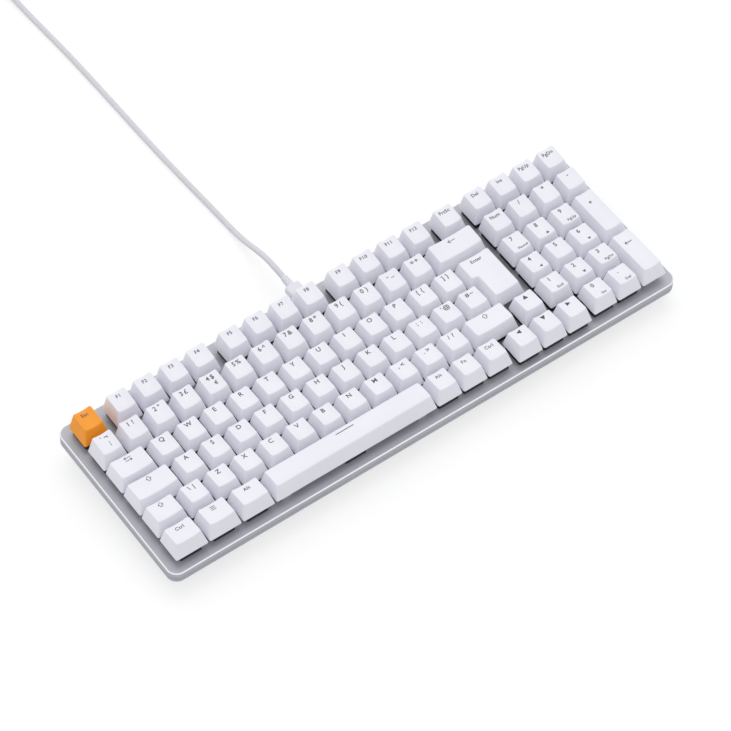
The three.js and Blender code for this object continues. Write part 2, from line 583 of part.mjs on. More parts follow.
function buildBottomCase() {
  const top = -RIM_DEPTH - FIT_GAP;
  const tray = loft([
    levelRing(TRAY_WALL, PAD_HEIGHT + TRAY_FLOOR),
    outlineRing(TRAY_WALL, -BAND_DEPTH).map(deckToDesk),
    outlineRing(TRAY_WALL, top).map(deckToDesk),
    outlineRing(0, top).map(deckToDesk),
    outlineRing(0, -BAND_DEPTH).map(deckToDesk),
    levelRing(0, PAD_HEIGHT),
  ]);
  const additions = FOOT_SIDES.map(([, x]) =>
    footPocket(x, POCKET_WALL, PAD_HEIGHT, PAD_HEIGHT + POCKET_HEIGHT + TRAY_FLOOR));
  const boardUnder = (y) => DECK_HEIGHT + y * Math.sin(DECK_TILT)
    + (BOARD_BOTTOM - FIT_GAP) * Math.cos(DECK_TILT);
  [-1.5, -0.5, 0.5, 1.5].forEach((column) => {
    [-0.5, 0.5].forEach((line) => {
      const x = column * BOSS_SPACING_X;
      const y = line * BOSS_SPACING_Y;
      const height = boardUnder(y) - FIT_GAP - PAD_HEIGHT;
      additions.push(roundBar(BOSS_RADIUS, height, 'z', x, y, PAD_HEIGHT + height / 2));
    });
  });
  const cuts = [];
  FOOT_SIDES.forEach(([, x]) => {
    cuts.push(footPocket(x, 0, PAD_HEIGHT - 1, PAD_HEIGHT + POCKET_HEIGHT));
    const pin = FOOT_WIDTH + 2 * FOOT_PIN_REACH + 2 * FIT_GAP + 1;
    cuts.push(roundBar(FOOT_PIN_RADIUS + FIT_GAP, pin, 'x', x, FOOT_AXIS_Y, FOOT_AXIS_Z));
  });
  PAD_STRIPS.forEach(([, half, y]) => cuts.push(block(
    -half - FIT_GAP, half + FIT_GAP, y - FIT_GAP, y + PAD_DEPTH + FIT_GAP,
    PAD_HEIGHT - 1, PAD_HEIGHT + PAD_RECESS,
  )));
  const slot = block(
    SOCKET_X - TIP_WIDTH / 2 - SLOT_CLEARANCE, SOCKET_X + TIP_WIDTH / 2 + SLOT_CLEARANCE,
    OUTER_BACK - TRAY_WALL - 4, OUTER_BACK + 2,
    SOCKET_CENTRE_Z - TIP_HEIGHT / 2 - SLOT_CLEARANCE, SOCKET_CENTRE_Z + TIP_HEIGHT / 2 + SLOT_CLEARANCE,
  );
  slot.rotateX(DECK_TILT);
  slot.translate(0, 0, DECK_HEIGHT);
  cuts.push(slot);
  addPiece(chassis, 'bottom_case', cut(join([tray, ...additions]), cuts), TRAY_PLASTIC);
}

function buildRubberStrips() {
  PAD_STRIPS.forEach(([name, half, y]) => {
    const top = PAD_HEIGHT + PAD_RECESS - FIT_GAP;
    addPiece(chassis, name, block(-half, half, y, y + PAD_DEPTH, 0, top), RUBBER);
  });
}

// A flip-out foot: a flat leg, round at its hinge end, with a pin at each side.
function buildFlipFeet() {
  const half = FOOT_THICKNESS / 2;
  const outline = new THREE.Shape();
  outline.moveTo(0, half);
  outline.lineTo(-FOOT_LENGTH, half * 0.7);
  outline.lineTo(-FOOT_LENGTH, -half);
  outline.lineTo(0, -half);
  outline.absarc(0, 0, half, -Math.PI / 2, Math.PI / 2, false);
  FOOT_SIDES.forEach(([side, x]) => {
    const leg = new THREE.ExtrudeGeometry(outline, { depth: FOOT_WIDTH, bevelEnabled: false, curveSegments: 4 });
    leg.rotateY(Math.PI / 2);
    leg.rotateX(Math.PI / 2);
    leg.translate(x - FOOT_WIDTH / 2, FOOT_AXIS_Y, FOOT_AXIS_Z);
    const pin = roundBar(
      FOOT_PIN_RADIUS, FOOT_WIDTH + 2 * FOOT_PIN_REACH, 'x', x, FOOT_AXIS_Y, FOOT_AXIS_Z,
    );
    addPiece(chassis, `flip_foot_${side}`, join([leg, pin]), TRAY_PLASTIC);
  });
}

// ---- Lead ----
const PLUG_FACE_Y = OUTER_BACK + FIT_GAP;

function buildSocketAndPlug() {
  const z = SOCKET_CENTRE_Z;
  const mouth = OUTER_BACK - TRAY_WALL - SOCKET_SETBACK;
  const shell = block(
    SOCKET_X - SOCKET_WIDTH / 2, SOCKET_X + SOCKET_WIDTH / 2, mouth - SOCKET_DEPTH, mouth,
    z - SOCKET_HEIGHT / 2, z + SOCKET_HEIGHT / 2,
  );
  const cavity = block(
    SOCKET_X - TIP_WIDTH / 2 - FIT_GAP, SOCKET_X + TIP_WIDTH / 2 + FIT_GAP,
    mouth - SOCKET_DEPTH + 1, mouth + 1, z - TIP_HEIGHT / 2 - FIT_GAP, z + TIP_HEIGHT / 2 + FIT_GAP,
  );
  addPiece(deck, 'usb_socket', cut(shell, [cavity]), STEEL);
  const tip = block(
    SOCKET_X - TIP_WIDTH / 2, SOCKET_X + TIP_WIDTH / 2, PLUG_FACE_Y - TIP_LENGTH, PLUG_FACE_Y + 1,
    z - TIP_HEIGHT / 2, z + TIP_HEIGHT / 2,
  );
  const grip = block(
    SOCKET_X - PLUG_WIDTH / 2, SOCKET_X + PLUG_WIDTH / 2, PLUG_FACE_Y, PLUG_FACE_Y + PLUG_LENGTH,
    z - PLUG_HEIGHT / 2, z + PLUG_HEIGHT / 2,
  );
  const relief = new THREE.CylinderGeometry(
    CORD_DIAMETER / 2 + RELIEF_THIN, CORD_DIAMETER / 2 + RELIEF_THICK, RELIEF_LENGTH + 1, 12,
  );
  relief.translate(SOCKET_X, PLUG_FACE_Y + PLUG_LENGTH + RELIEF_LENGTH / 2 - 0.5, z);
  addPiece(deck, 'usb_c_plug', join([tip, grip, relief]), CAP_WHITE);
}

// The lead's route over the desk, from the plug to the coil, chosen by hand.
const RELIEF_END = deckToDesk(
  new THREE.Vector3(SOCKET_X, PLUG_FACE_Y + PLUG_LENGTH + RELIEF_LENGTH + FIT_GAP, SOCKET_CENTRE_Z),
).add(chassis.position);
const LEAD_ROUTE = [
  [-7, 85, 17.2], [-6.9, 94, 17.4], [-6.4, 104, 15.8], [-5.6, 116, 11.4], [-4.9, 128, 6.4],
  [-4.5, 140, 3.1], [-4.5, 152, 2.15], [-4.8, 166, 2.1], [-5.3, 182, 2.1], [-5.8, 200, 2.1],
  [-6.3, 220, 2.1], [-6.5, 242, 2.1], [-6.5, 266, 2.1], [-6.5, 290, 2.1], [-6.6, 314, 2.1],
  [-7, 338, 2.1], [-7.8, 360, 2.1], [-8.6, 380, 2.3], [-9, 395, 2.8], [-9, 407.6, 3.1],
];

function buildLead() {
  const points = LEAD_ROUTE.map(([x, y, z]) => new THREE.Vector3(x, y, z));
  points[0].copy(RELIEF_END);
  const path = new THREE.CatmullRomCurve3(points, false, 'centripetal');
  const section = new THREE.Shape();
  const SIDES = 8;
  const radius = CORD_DIAMETER / 2;
  for (let i = 0; i < SIDES; i += 1) {
    const angle = (2 * Math.PI * (i + 0.5)) / SIDES;
    const corner = [radius * Math.cos(angle), radius * Math.sin(angle)];
    if (i === 0) section.moveTo(...corner);
    else section.lineTo(...corner);
  }
  const steps = Math.round(path.getLength() / (2.5 * CORD_DIAMETER));
  const tube = new THREE.ExtrudeGeometry(section, { steps, extrudePath: path, bevelEnabled: false });
  addPiece(keyboard, 'lead_cable', tube, LEAD_SLEEVE);

  const half = (COIL_COLUMNS * CORD_DIAMETER) / 2 + COIL_SLACK;
  const low = TIE_THICKNESS + FIT_GAP;
  const high = low + COIL_LAYERS * CORD_DIAMETER;
  const ring = [
    [COIL_RADIUS - half, low], [COIL_RADIUS + half, low],
    [COIL_RADIUS + half, high], [COIL_RADIUS - half, high], [COIL_RADIUS - half, low],
  ].map(([r, z]) => new THREE.Vector2(r, z));
  const coil = new THREE.LatheGeometry(ring, 40);
  coil.rotateX(Math.PI / 2);
  coil.translate(COIL_CENTRE.x, COIL_CENTRE.y, 0);
  addPiece(keyboard, 'lead_coil', coil, LEAD_SLEEVE);

  const innerRadius = COIL_RADIUS - half;
  const inner = COIL_CENTRE.x + Math.sqrt(innerRadius ** 2 - (TIE_WIDTH / 2) ** 2) - FIT_GAP;
  const outer = COIL_CENTRE.x + COIL_RADIUS + half + FIT_GAP;
  const strap = block(
    inner - TIE_THICKNESS, outer + TIE_THICKNESS,
    COIL_CENTRE.y - TIE_WIDTH / 2, COIL_CENTRE.y + TIE_WIDTH / 2, 0, high + FIT_GAP + TIE_THICKNESS,
  );
  const hollow = block(
    inner, outer, COIL_CENTRE.y - TIE_WIDTH, COIL_CENTRE.y + TIE_WIDTH, TIE_THICKNESS, high + FIT_GAP,
  );
  addPiece(keyboard, 'cable_tie', cut(strap, [hollow]), RUBBER);
}

// The far plug lies beside the coil, where its last turn leaves it.
function buildFarPlug() {
  const y = COIL_CENTRE.y + COIL_RADIUS + ((COIL_COLUMNS - 1) * CORD_DIAMETER) / 2;
  const z = A_GRIP_HEIGHT / 2 + A_GRIP_LIFT;
  const x = COIL_CENTRE.x + A_GRIP_START;
  const end = x + A_GRIP_LENGTH;
  const grip = block(
    x, end, y - A_GRIP_WIDTH / 2, y + A_GRIP_WIDTH / 2, z - A_GRIP_HEIGHT / 2, z + A_GRIP_HEIGHT / 2,
  );
  const shell = block(
    end - 1, end + A_SHELL_LENGTH, y - A_SHELL_WIDTH / 2, y + A_SHELL_WIDTH / 2,
    z - A_SHELL_HEIGHT / 2, z + A_SHELL_HEIGHT / 2,
  );
  const relief = roundBar(
    CORD_DIAMETER / 2 + A_RELIEF_WALL, A_RELIEF_LENGTH + 1, 'x', x - A_RELIEF_LENGTH / 2 + 0.5, y, z,
  );
  addPiece(keyboard, 'usb_a_plug', join([grip, shell, relief]), CAP_WHITE);
}

buildKeys();
buildSwitches();
buildStabilisers();
buildTopPlate();
buildCircuitBoard();
buildBottomCase();
buildRubberStrips();
buildFlipFeet();
buildSocketAndPlug();
buildLead();
buildFarPlug();

export default keyboard;
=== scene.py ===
import json
import math

import bpy
from mathutils import Matrix, Vector
from mathutils.geometry import interpolate_bezier


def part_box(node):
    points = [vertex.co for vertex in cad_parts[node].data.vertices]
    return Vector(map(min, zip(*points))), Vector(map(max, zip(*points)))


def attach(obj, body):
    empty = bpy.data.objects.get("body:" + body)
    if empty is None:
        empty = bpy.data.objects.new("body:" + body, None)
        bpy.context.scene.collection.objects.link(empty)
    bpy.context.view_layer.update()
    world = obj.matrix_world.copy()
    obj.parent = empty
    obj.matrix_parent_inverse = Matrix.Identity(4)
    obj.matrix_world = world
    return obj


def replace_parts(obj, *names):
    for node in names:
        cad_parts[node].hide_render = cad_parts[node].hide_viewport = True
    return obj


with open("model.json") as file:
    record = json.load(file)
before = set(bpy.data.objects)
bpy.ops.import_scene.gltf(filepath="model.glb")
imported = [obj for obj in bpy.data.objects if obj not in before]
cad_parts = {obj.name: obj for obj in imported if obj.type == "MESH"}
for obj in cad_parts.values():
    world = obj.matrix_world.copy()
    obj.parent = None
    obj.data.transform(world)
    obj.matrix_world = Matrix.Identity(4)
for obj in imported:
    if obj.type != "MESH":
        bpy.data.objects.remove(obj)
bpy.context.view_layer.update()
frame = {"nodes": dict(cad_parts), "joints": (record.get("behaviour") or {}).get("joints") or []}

MM = 0.001

# ---- Camera ----
# A long lens looks down on the desk from the front left, far enough away for nearly parallel edges.
camera_data = bpy.data.cameras.new("camera")
camera_data.sensor_width = 36
camera_data.lens = 174.8
camera = bpy.data.objects.new("camera", camera_data)
bpy.context.scene.collection.objects.link(camera)
bearing = math.radians(-35.60)
elevation = math.radians(52.67)
roll = math.radians(-0.39)
back = Vector((
    math.sin(bearing) * math.cos(elevation),
    -math.cos(bearing) * math.cos(elevation),
    math.sin(elevation),
))
level = (-back).cross(Vector((0, 0, 1))).normalized()
upright = level.cross(-back)
across = level * math.cos(roll) + upright * math.sin(roll)
aim = Matrix((across, back.cross(across), back)).transposed().to_4x4()
camera.matrix_world = Matrix.Translation((-0.7703, -1.0691, 1.7383)) @ aim
bpy.context.scene.camera = camera

# ---- Lead ----
# A round USB lead in a pale woven sleeve. It leaves the plug behind the case, drops to the desk, runs
# straight back, and its spare length is wound flat in two layers of turns.
CORD_RADIUS = 1.9
ROUTE = [
    (-7, 82, 17.1), (-7, 86, 17.3), (-6.9, 94, 17.4), (-6.4, 104, 15.8), (-5.6, 116, 11.4),
    (-4.9, 128, 6.4), (-4.5, 140, 3.1), (-4.5, 152, 2.15), (-4.8, 166, 2.1), (-5.3, 182, 2.1),
    (-5.8, 200, 2.1), (-6.3, 220, 2.1), (-6.5, 242, 2.1), (-6.5, 266, 2.1), (-6.5, 290, 2.1),
    (-6.6, 314, 2.1), (-7, 338, 2.1), (-7.8, 360, 2.1), (-8.6, 380, 2.3), (-9, 395, 2.8),
    (-9, 407.6, 3.1),
]
COIL_X, COIL_Y = 21, 424
OUTER_TURN, INNER_TURN, TURN_PITCH = 30, 14, 4
LOW_LAYER, HIGH_LAYER = 3.1, 7.1
LAST_TURN = 9.25
TURN_POINTS = 20


def ease(t):
    t = min(max(t, 0), 1)
    return t * t * (3 - 2 * t)


def coil_point(turn):
    """Four turns winding in, one that climbs, then four winding out on top."""
    whole = int(turn)
    part = turn - whole
    radius, height = INNER_TURN, LOW_LAYER
    if turn < 4:
        radius = OUTER_TURN - TURN_PITCH * (whole + ease(3 * part - 2))
    elif turn < 5:
        height = LOW_LAYER + (HIGH_LAYER - LOW_LAYER) * ease(3 * part - 1)
    else:
        height = HIGH_LAYER
        radius = min(INNER_TURN + TURN_PITCH * (whole - 5 + ease(3 * part)), OUTER_TURN)
    angle = math.pi - 2 * math.pi * turn
    return (COIL_X + radius * math.cos(angle), COIL_Y + radius * math.sin(angle), height)


coil_steps = round(LAST_TURN * TURN_POINTS)
route = ROUTE + [coil_point(LAST_TURN * i / coil_steps) for i in range(coil_steps + 1)]
route += [(26, 454, 6.95), (31, 454, 6.3), (35.5, 454, 5), (39.5, 454, 4.4)]


def smooth_line(points, steps):
    """A line through the points that leaves each one without a corner."""
    knots = [Vector(p) * MM for p in points]
    line = []
    for i in range(len(knots) - 1):
        before = knots[max(i - 1, 0)]
        after = knots[min(i + 2, len(knots) - 1)]
        start, end = knots[i], knots[i + 1]
        reach = (end - start).length / 3
        leave = start + (end - before).normalized() * reach
        arrive = end - (after - start).normalized() * reach
        line += interpolate_bezier(start, leave, arrive, end, steps + 1)[:-1]
    return line + [knots[-1]]


def new_piece(name, vertices, faces, material, corner=35):
    mesh = bpy.data.meshes.new(name)
    mesh.from_pydata([tuple(v) for v in vertices], [], faces)
    mesh.shade_smooth()
    mesh.set_sharp_from_angle(angle=math.radians(corner))
    mesh.materials.append(material)
    piece = bpy.data.objects.new(name, mesh)
    bpy.context.scene.collection.objects.link(piece)
    return piece


def tube(name, line, radius, sides, material):
    """A round tube along a line, with a UV map that counts diameters along it and turns around it."""
    vertices, faces, uvs = [], [], []
    side = Vector((1, 0, 0))
    along = 0
    marks = []
    for i, point in enumerate(line):
        ahead = (line[min(i + 1, len(line) - 1)] - line[max(i - 1, 0)]).normalized()
        side = (side - ahead * side.dot(ahead)).normalized()
        other = ahead.cross(side)
        if i:
            along += (point - line[i - 1]).length
        marks.append(along / (2 * radius))
        for k in range(sides):
            angle = 2 * math.pi * k / sides
            vertices.append(point + (side * math.cos(angle) + other * math.sin(angle)) * radius)
    for i in range(len(line) - 1):
        for k in range(sides):
            after = (k + 1) % sides
            faces.append((i * sides + k, i * sides + after, (i + 1) * sides + after, (i + 1) * sides + k))
            low, high = k / sides, (k + 1) / sides
            uvs += [(marks[i], low), (marks[i], high), (marks[i + 1], high), (marks[i + 1], low)]
    first = list(range(sides - 1, -1, -1))
    last = [(len(line) - 1) * sides + k for k in range(sides)]
    faces += [first, last]
    uvs += [(0, 0)] * (2 * sides)
    piece = new_piece(name, vertices, faces, material)
    layer = piece.data.uv_layers.new(name="round")
    for corner, uv in zip(layer.data, uvs):
        corner.uv = uv
    return piece


def finish_of(name, colour, roughness, metallic=0.0):
    """A named finish with its shader's own even values."""
    material = bpy.data.materials.new(name)
    material.use_nodes = True
    shader = material.node_tree.nodes["Principled BSDF"]
    shader.inputs["Base Color"].default_value = (*colour, 1)
    shader.inputs["Roughness"].default_value = roughness
    shader.inputs["Metallic"].default_value = metallic
    return material


def node(material, kind, **values):
    made = material.node_tree.nodes.new(kind)
    for key, value in values.items():
        if key in made.inputs:
            made.inputs[key].default_value = value
        else:
            setattr(made, key, value)
    return made


def join_up(material, out, into):
    material.node_tree.links.new(out, into)


def noise_at(material, scale, detail=2.0):
    place = node(material, "ShaderNodeTexCoord")
    grain = node(material, "ShaderNodeTexNoise", Scale=scale, Detail=detail)
    join_up(material, place.outputs["Object"], grain.inputs["Vector"])
    return grain.outputs["Fac"]


def shader_of(material):
    return material.node_tree.nodes["Principled BSDF"]


def vary_colour(material, scale, dark, light):
    """Slow, faint colour variation, as in any batch of pigment."""
    ramp = node(material, "ShaderNodeValToRGB")
    ramp.color_ramp.elements[0].color = (*dark, 1)
    ramp.color_ramp.elements[0].position = 0.35
    ramp.color_ramp.elements[1].color = (*light, 1)
    ramp.color_ramp.elements[1].position = 0.65
    join_up(material, noise_at(material, scale), ramp.inputs["Fac"])
    join_up(material, ramp.outputs["Color"], shader_of(material).inputs["Base Color"])


def vary_roughness(material, scale, low, high):
    spread = node(material, "ShaderNodeMapRange")
    spread.inputs["To Min"].default_value = low
    spread.inputs["To Max"].default_value = high
    join_up(material, noise_at(material, scale), spread.inputs["Value"])
    join_up(material, spread.outputs["Result"], shader_of(material).inputs["Roughness"])


def add_bump(material, height, strength, distance):
    bump = node(material, "ShaderNodeBump", Strength=strength, Distance=distance)
    join_up(material, height, bump.inputs["Height"])
    join_up(material, bump.outputs["Normal"], shader_of(material).inputs["Normal"])


def add_grain(material, scale, strength, distance):
    add_bump(material, noise_at(material, scale, 3.0), strength, distance)


def braid(material, strands, slant):
    """The height of two crossing sets of strands around the sleeve."""
    place = node(material, "ShaderNodeUVMap", uv_map="round")
    parts = node(material, "ShaderNodeSeparateXYZ")
    join_up(material, place.outputs["UV"], parts.inputs["Vector"])
    waves = []
    for hand in (-1, 1):
        around = node(material, "ShaderNodeMath", operation="MULTIPLY")
        around.inputs[1].default_value = 2 * math.pi * strands * hand
        join_up(material, parts.outputs["Y"], around.inputs[0])
        twist = node(material, "ShaderNodeMath", operation="MULTIPLY_ADD")
        twist.inputs[1].default_value = slant
        join_up(material, parts.outputs["X"], twist.inputs[0])
        join_up(material, around.outputs["Value"], twist.inputs[2])
        wave = node(material, "ShaderNodeMath", operation="SINE")
        join_up(material, twist.outputs["Value"], wave.inputs[0])
        waves.append(wave.outputs["Value"])
    weave = node(material, "ShaderNodeMath", operation="MULTIPLY")
    join_up(material, waves[0], weave.inputs[0])
    join_up(material, waves[1], weave.inputs[1])
    return weave.outputs["Value"]


sleeve = finish_of("woven_sleeve", (0.84, 0.83, 0.87), 0.75)
weave_height = braid(sleeve, 8, 26)
add_bump(sleeve, weave_height, 0.4, 0.0004)
# The sleeve's colour follows the weave's height: painted shade in the hollows between strands and painted
# light on their crests.
sleeve_painted_shade = node(sleeve, "ShaderNodeValToRGB")
sleeve_painted_shade.color_ramp.elements[0].color = (0.72, 0.71, 0.76, 1)
sleeve_painted_shade.color_ramp.elements[1].color = (0.92, 0.91, 0.95, 1)
join_up(sleeve, weave_height, sleeve_painted_shade.inputs["Fac"])
join_up(sleeve, sleeve_painted_shade.outputs["Color"], shader_of(sleeve).inputs["Base Color"])

lead_line = smooth_line(route, 4)
lead_length = sum((b - a).length for a, b in zip(lead_line, lead_line[1:]))
lead = tube("lead", lead_line, CORD_RADIUS * MM, 14, sleeve)
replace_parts(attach(lead, "root"), "lead_cable", "lead_coil")

# ---- Plugs and tie ----
# The slim plug pushes into the case; the larger one is for the computer. Both are moulded over their
# steel shells, with ribbed strain reliefs. A woven strap holds the spare turns.
plug_white = finish_of("plug_plastic", (0.78, 0.77, 0.83), 0.45)
add_grain(plug_white, 5000, 0.15, 0.00005)
vary_roughness(plug_white, 400, 0.4, 0.55)
# A near-black finish for painted shadow: the shade in the gap between the slim plug's grip and its steel
# shell.
painted_gap_shadow = finish_of("plug_gap_painted_shadow", (0.12, 0.12, 0.14), 0.5)
add_grain(painted_gap_shadow, 5000, 0.15, 0.00005)
steel = finish_of("socket_steel", (0.62, 0.62, 0.64), 0.28, 1.0)
vary_roughness(steel, 900, 0.2, 0.36)
strap_cloth = finish_of("tie_fabric", (0.055, 0.055, 0.065), 0.9)
add_grain(strap_cloth, 2500, 0.7, 0.0003)
vary_colour(strap_cloth, 1800, (0.04, 0.04, 0.05), (0.085, 0.085, 0.10))


def outline(corners, radii, turn_steps, side_steps):
    """A square-cornered polygon with rounded corners, anticlockwise, with as many points at each one."""
    count = len(corners)
    points = []
    ends = []
    for i, (x, y) in enumerate(corners):
        radius = radii[i] if isinstance(radii, (list, tuple)) else radii
        corner = Vector((x, y))
        before = (Vector(corners[i - 1]) - corner).normalized()
        after = (Vector(corners[(i + 1) % count]) - corner).normalized()
        middle = corner + (before + after) * radius
        turn = []
        for k in range(turn_steps + 1):
            angle = math.pi / 2 * k / turn_steps
            turn.append(middle - before * radius * math.sin(angle) - after * radius * math.cos(angle))
        ends.append(turn)
    for i, turn in enumerate(ends):
        following = ends[(i + 1) % count][0]
        points += turn
        points += [turn[-1].lerp(following, k / side_steps) for k in range(1, side_steps)]
    return points


def box_corners(x0, x1, y0, y1):
    return [(x0, y0), (x1, y0), (x1, y1), (x0, y1)]


def at_height(points, z):
    return [Vector((p.x, p.y, z)) for p in points]


def loft_mesh(rings, vertices, faces, ends=True):
    """Joins rings of points, each anticlockwise seen from above, going up the outside."""
    count = len(rings[0])
    start = len(vertices)
    for ring in rings:
        vertices += [p * MM for p in ring]
    for level_number in range(len(rings) - 1):
        low = start + level_number * count
        for i in range(count):
            after = (i + 1) % count
            faces.append((low + i, low + after, low + count + after, low + count + i))
    if ends:
        faces.append(tuple(start + i for i in reversed(range(count))))
        top = start + (len(rings) - 1) * count
        faces.append(tuple(top + i for i in range(count)))


def shrink(points, amount, middle):
    """Points moved towards a middle by a distance, along each axis."""
    moved = []
    for p in points:
        dx, dy = middle[0] - p.x, middle[1] - p.y
        moved.append(Vector((
            p.x + math.copysign(min(amount, abs(dx)), dx),
            p.y + math.copysign(min(amount, abs(dy)), dy),
        )))
    return moved


def soft_block(x0, x1, y0, y1, z0, z1, corner, edge, vertices, faces):
    """A block with rounded upright corners and softened top and bottom edges."""
    middle = ((x0 + x1) / 2, (y0 + y1) / 2)
    full = outline(box_corners(x0, x1, y0, y1), corner, 5, 2)
    levels = [(edge, z0), (edge * 0.3, z0 + edge * 0.3), (0, z0 + edge),
              (0, z1 - edge), (edge * 0.3, z1 - edge * 0.3), (edge, z1)]
    loft_mesh([at_height(shrink(full, inset, middle), z) for inset, z in levels], vertices, faces)


def round_ring(radius, z, count=24):
    turns = [2 * math.pi * k / count for k in range(count)]
    return [Vector((radius * math.cos(a), radius * math.sin(a), z)) for a in turns]


# The deck is the plane of the plate's top: it tilts towards the user, as each key's travel shows.
press = next(joint for joint in frame["joints"] if joint["name"] == "press_escape")
TILT = math.asin(press["axis"][1])
KEY_PITCH = 19.05
FIELD_X, FIELD_Y = 19.25 * KEY_PITCH / 2, 6 * KEY_PITCH / 2
SIDE_MARGIN, FRONT_MARGIN, BACK_MARGIN = 5.5, 4.9, 6.9
FRONT_HEIGHT = 18.5
LEAN_DEPTH = 8.9
OUTER_X, OUTER_FRONT, OUTER_BACK = FIELD_X + SIDE_MARGIN, FIELD_Y + FRONT_MARGIN, FIELD_Y + BACK_MARGIN
DECK_Y = -((OUTER_BACK - OUTER_FRONT) * math.cos(TILT) + LEAN_DEPTH * math.sin(TILT)) / 2
DECK_Z = FRONT_HEIGHT + OUTER_FRONT * math.sin(TILT)
DECK = Matrix.Translation((0, DECK_Y * MM, DECK_Z * MM)) @ Matrix.Rotation(TILT, 4, "X")
SOCKET_X, SOCKET_Z = -7, -9

# The slim plug lies along the deck's Y axis; its sections are lofted along Z and laid down.
LAY_BACK = Matrix.Rotation(math.radians(-90), 4, "X")


def lying(x, y, z):
    return Matrix.Translation((x * MM, y * MM, z * MM)) @ LAY_BACK


vertices, faces = [], []
soft_block(-5.2, 5.2, -3.1, 3.1, 0, 12, 1.6, 0.6, vertices, faces)
slim_plug = new_piece("usb_c_plug_grip", vertices, faces, plug_white)
slim_plug.matrix_world = DECK @ lying(SOCKET_X, OUTER_BACK + 0.3, SOCKET_Z)
vertices, faces = [], []
ribs = []
for i in range(10):
    radius = 2.8 - 0.055 * i - (0.25 if i % 2 else 0)
    ribs += [(radius, 11.8 + 0.9 * i), (radius, 12.5 + 0.9 * i)]
loft_mesh([round_ring(radius, z) for radius, z in ribs], vertices, faces)
slim_relief = new_piece("usb_c_strain_relief", vertices, faces, plug_white)
slim_relief.matrix_world = DECK @ lying(SOCKET_X, OUTER_BACK + 0.3, SOCKET_Z)
# A thin dark block at the slim plug's mouth, painted shadow of the gap between grip and shell, not a real
# part.
vertices, faces = [], []
soft_block(-4.6, 4.6, -2.5, 2.5, -0.25, 0.2, 1.3, 0.05, vertices, faces)
slim_gap_shadow = new_piece("usb_c_plug_gap_painted_shadow", vertices, faces, painted_gap_shadow)
slim_gap_shadow.matrix_world = DECK @ lying(SOCKET_X, OUTER_BACK + 0.3, SOCKET_Z)
vertices, faces = [], []
soft_block(-3.9, 3.9, -1.1, 1.1, -8.9, 0.3, 1.05, 0.2, vertices, faces)
slim_tip = new_piece("usb_c_plug_shell", vertices, faces, steel)
slim_tip.matrix_world = DECK @ lying(SOCKET_X, OUTER_BACK + 0.3, SOCKET_Z)
for piece in (slim_plug, slim_relief, slim_gap_shadow, slim_tip):
    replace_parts(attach(piece, "root"), "usb_c_plug")

# The computer's plug lies flat beside the turns, its grip towards them.
LAY_RIGHT = Matrix.Rotation(math.radians(90), 4, "Y")
FAR_X, FAR_Y, FAR_Z = 45, 454, 4.1
far_place = Matrix.Translation((FAR_X * MM, FAR_Y * MM, FAR_Z * MM)) @ LAY_RIGHT
vertices, faces = [], []
soft_block(-4, 4, -8, 8, 0, 28, 2, 1, vertices, faces)
for i in range(5):
    soft_block(-4.0, 4.0, -8.0, 8.0, 5 + 2.4 * i, 6 + 2.4 * i, 1.9, 0.2, vertices, faces)
far_grip = new_piece("usb_a_plug_grip", vertices, faces, plug_white)
vertices, faces = [], []
ribs = [(2.5 - (0.35 if i % 2 else 0), -6.5 + 0.8 * i + e) for i in range(9) for e in (0, 0.5)]
loft_mesh([round_ring(radius, z) for radius, z in ribs], vertices, faces)
far_relief = new_piece("usb_a_strain_relief", vertices, faces, plug_white)
vertices, faces = [], []
shell = outline(box_corners(-2.25, 2.25, -6, 6), 0.5, 3, 2)
inside = outline(box_corners(-1.9, 1.9, -5.65, 5.65), 0.3, 3, 2)
loft_mesh([at_height(shell, 27.5), at_height(shell, 46), at_height(inside, 46), at_height(inside, 29)],
          vertices, faces)
far_shell = new_piece("usb_a_plug_shell", vertices, faces, steel)
vertices, faces = [], []
soft_block(-1.7, 0.1, -5.3, 5.3, 28.9, 45.5, 0.3, 0.15, vertices, faces)
far_tongue = new_piece("usb_a_plug_tongue", vertices, faces, plug_white)
for piece in (far_grip, far_relief, far_shell, far_tongue):
    piece.matrix_world = far_place
    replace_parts(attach(piece, "root"), "usb_a_plug")

# The strap is one band around the turns, with its free end pressed down on top.
vertices, faces = [], []
tie_low, tie_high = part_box("cable_tie")
x0, x1 = tie_low[0] / MM, tie_high[0] / MM
z1 = tie_high[2] / MM
STRAP = 0.8
outer_band = outline(box_corners(x0, x1, 0, z1), 1.6, 6, 3)
inner_band = outline(box_corners(x0 + STRAP, x1 - STRAP, STRAP, z1 - STRAP), 0.9, 6, 3)
y0, y1 = tie_low[1] / MM, tie_high[1] / MM
levels = [(outer_band, y0), (outer_band, y1), (inner_band, y1), (inner_band, y0), (outer_band, y0)]
loft_mesh([[Vector((p.x, y, p.y)) for p in ring] for ring, y in levels], vertices, faces, ends=False)
faces = [tuple(reversed(face)) for face in faces]
tie = new_piece("cable_tie_strap", vertices, faces, strap_cloth)
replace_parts(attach(tie, "root"), "cable_tie")

tuple(lead_line[0])

# ---- Desk and light ----
# A plain white sweep under broad, soft light from above and a bright surround.
desk_mesh = bpy.data.meshes.new("desk")
desk_mesh.from_pydata([(-6, -6, 0), (6, -6, 0), (6, 6, 0), (-6, 6, 0)], [], [(0, 1, 2, 3)])
desk = bpy.data.objects.new("desk", desk_mesh)
bpy.context.scene.collection.objects.link(desk)
desk_paint = bpy.data.materials.new("desk_paint")
desk_paint.use_nodes = True
desk_paint.node_tree.nodes.clear()
desk_mesh.materials.append(desk_paint)


def seen_directly(tree):
    """1 for rays from the camera, from a gloss or through glass, and 0 for the rest."""
    path = tree.nodes.new("ShaderNodeLightPath")
    total = path.outputs["Is Camera Ray"]
    for name in ("Is Glossy Ray", "Is Transmission Ray"):
        either = tree.nodes.new("ShaderNodeMath")
        either.operation = "MAXIMUM"
        tree.links.new(total, either.inputs[0])
        tree.links.new(path.outputs[name], either.inputs[1])
        total = either.outputs["Value"]
    return total


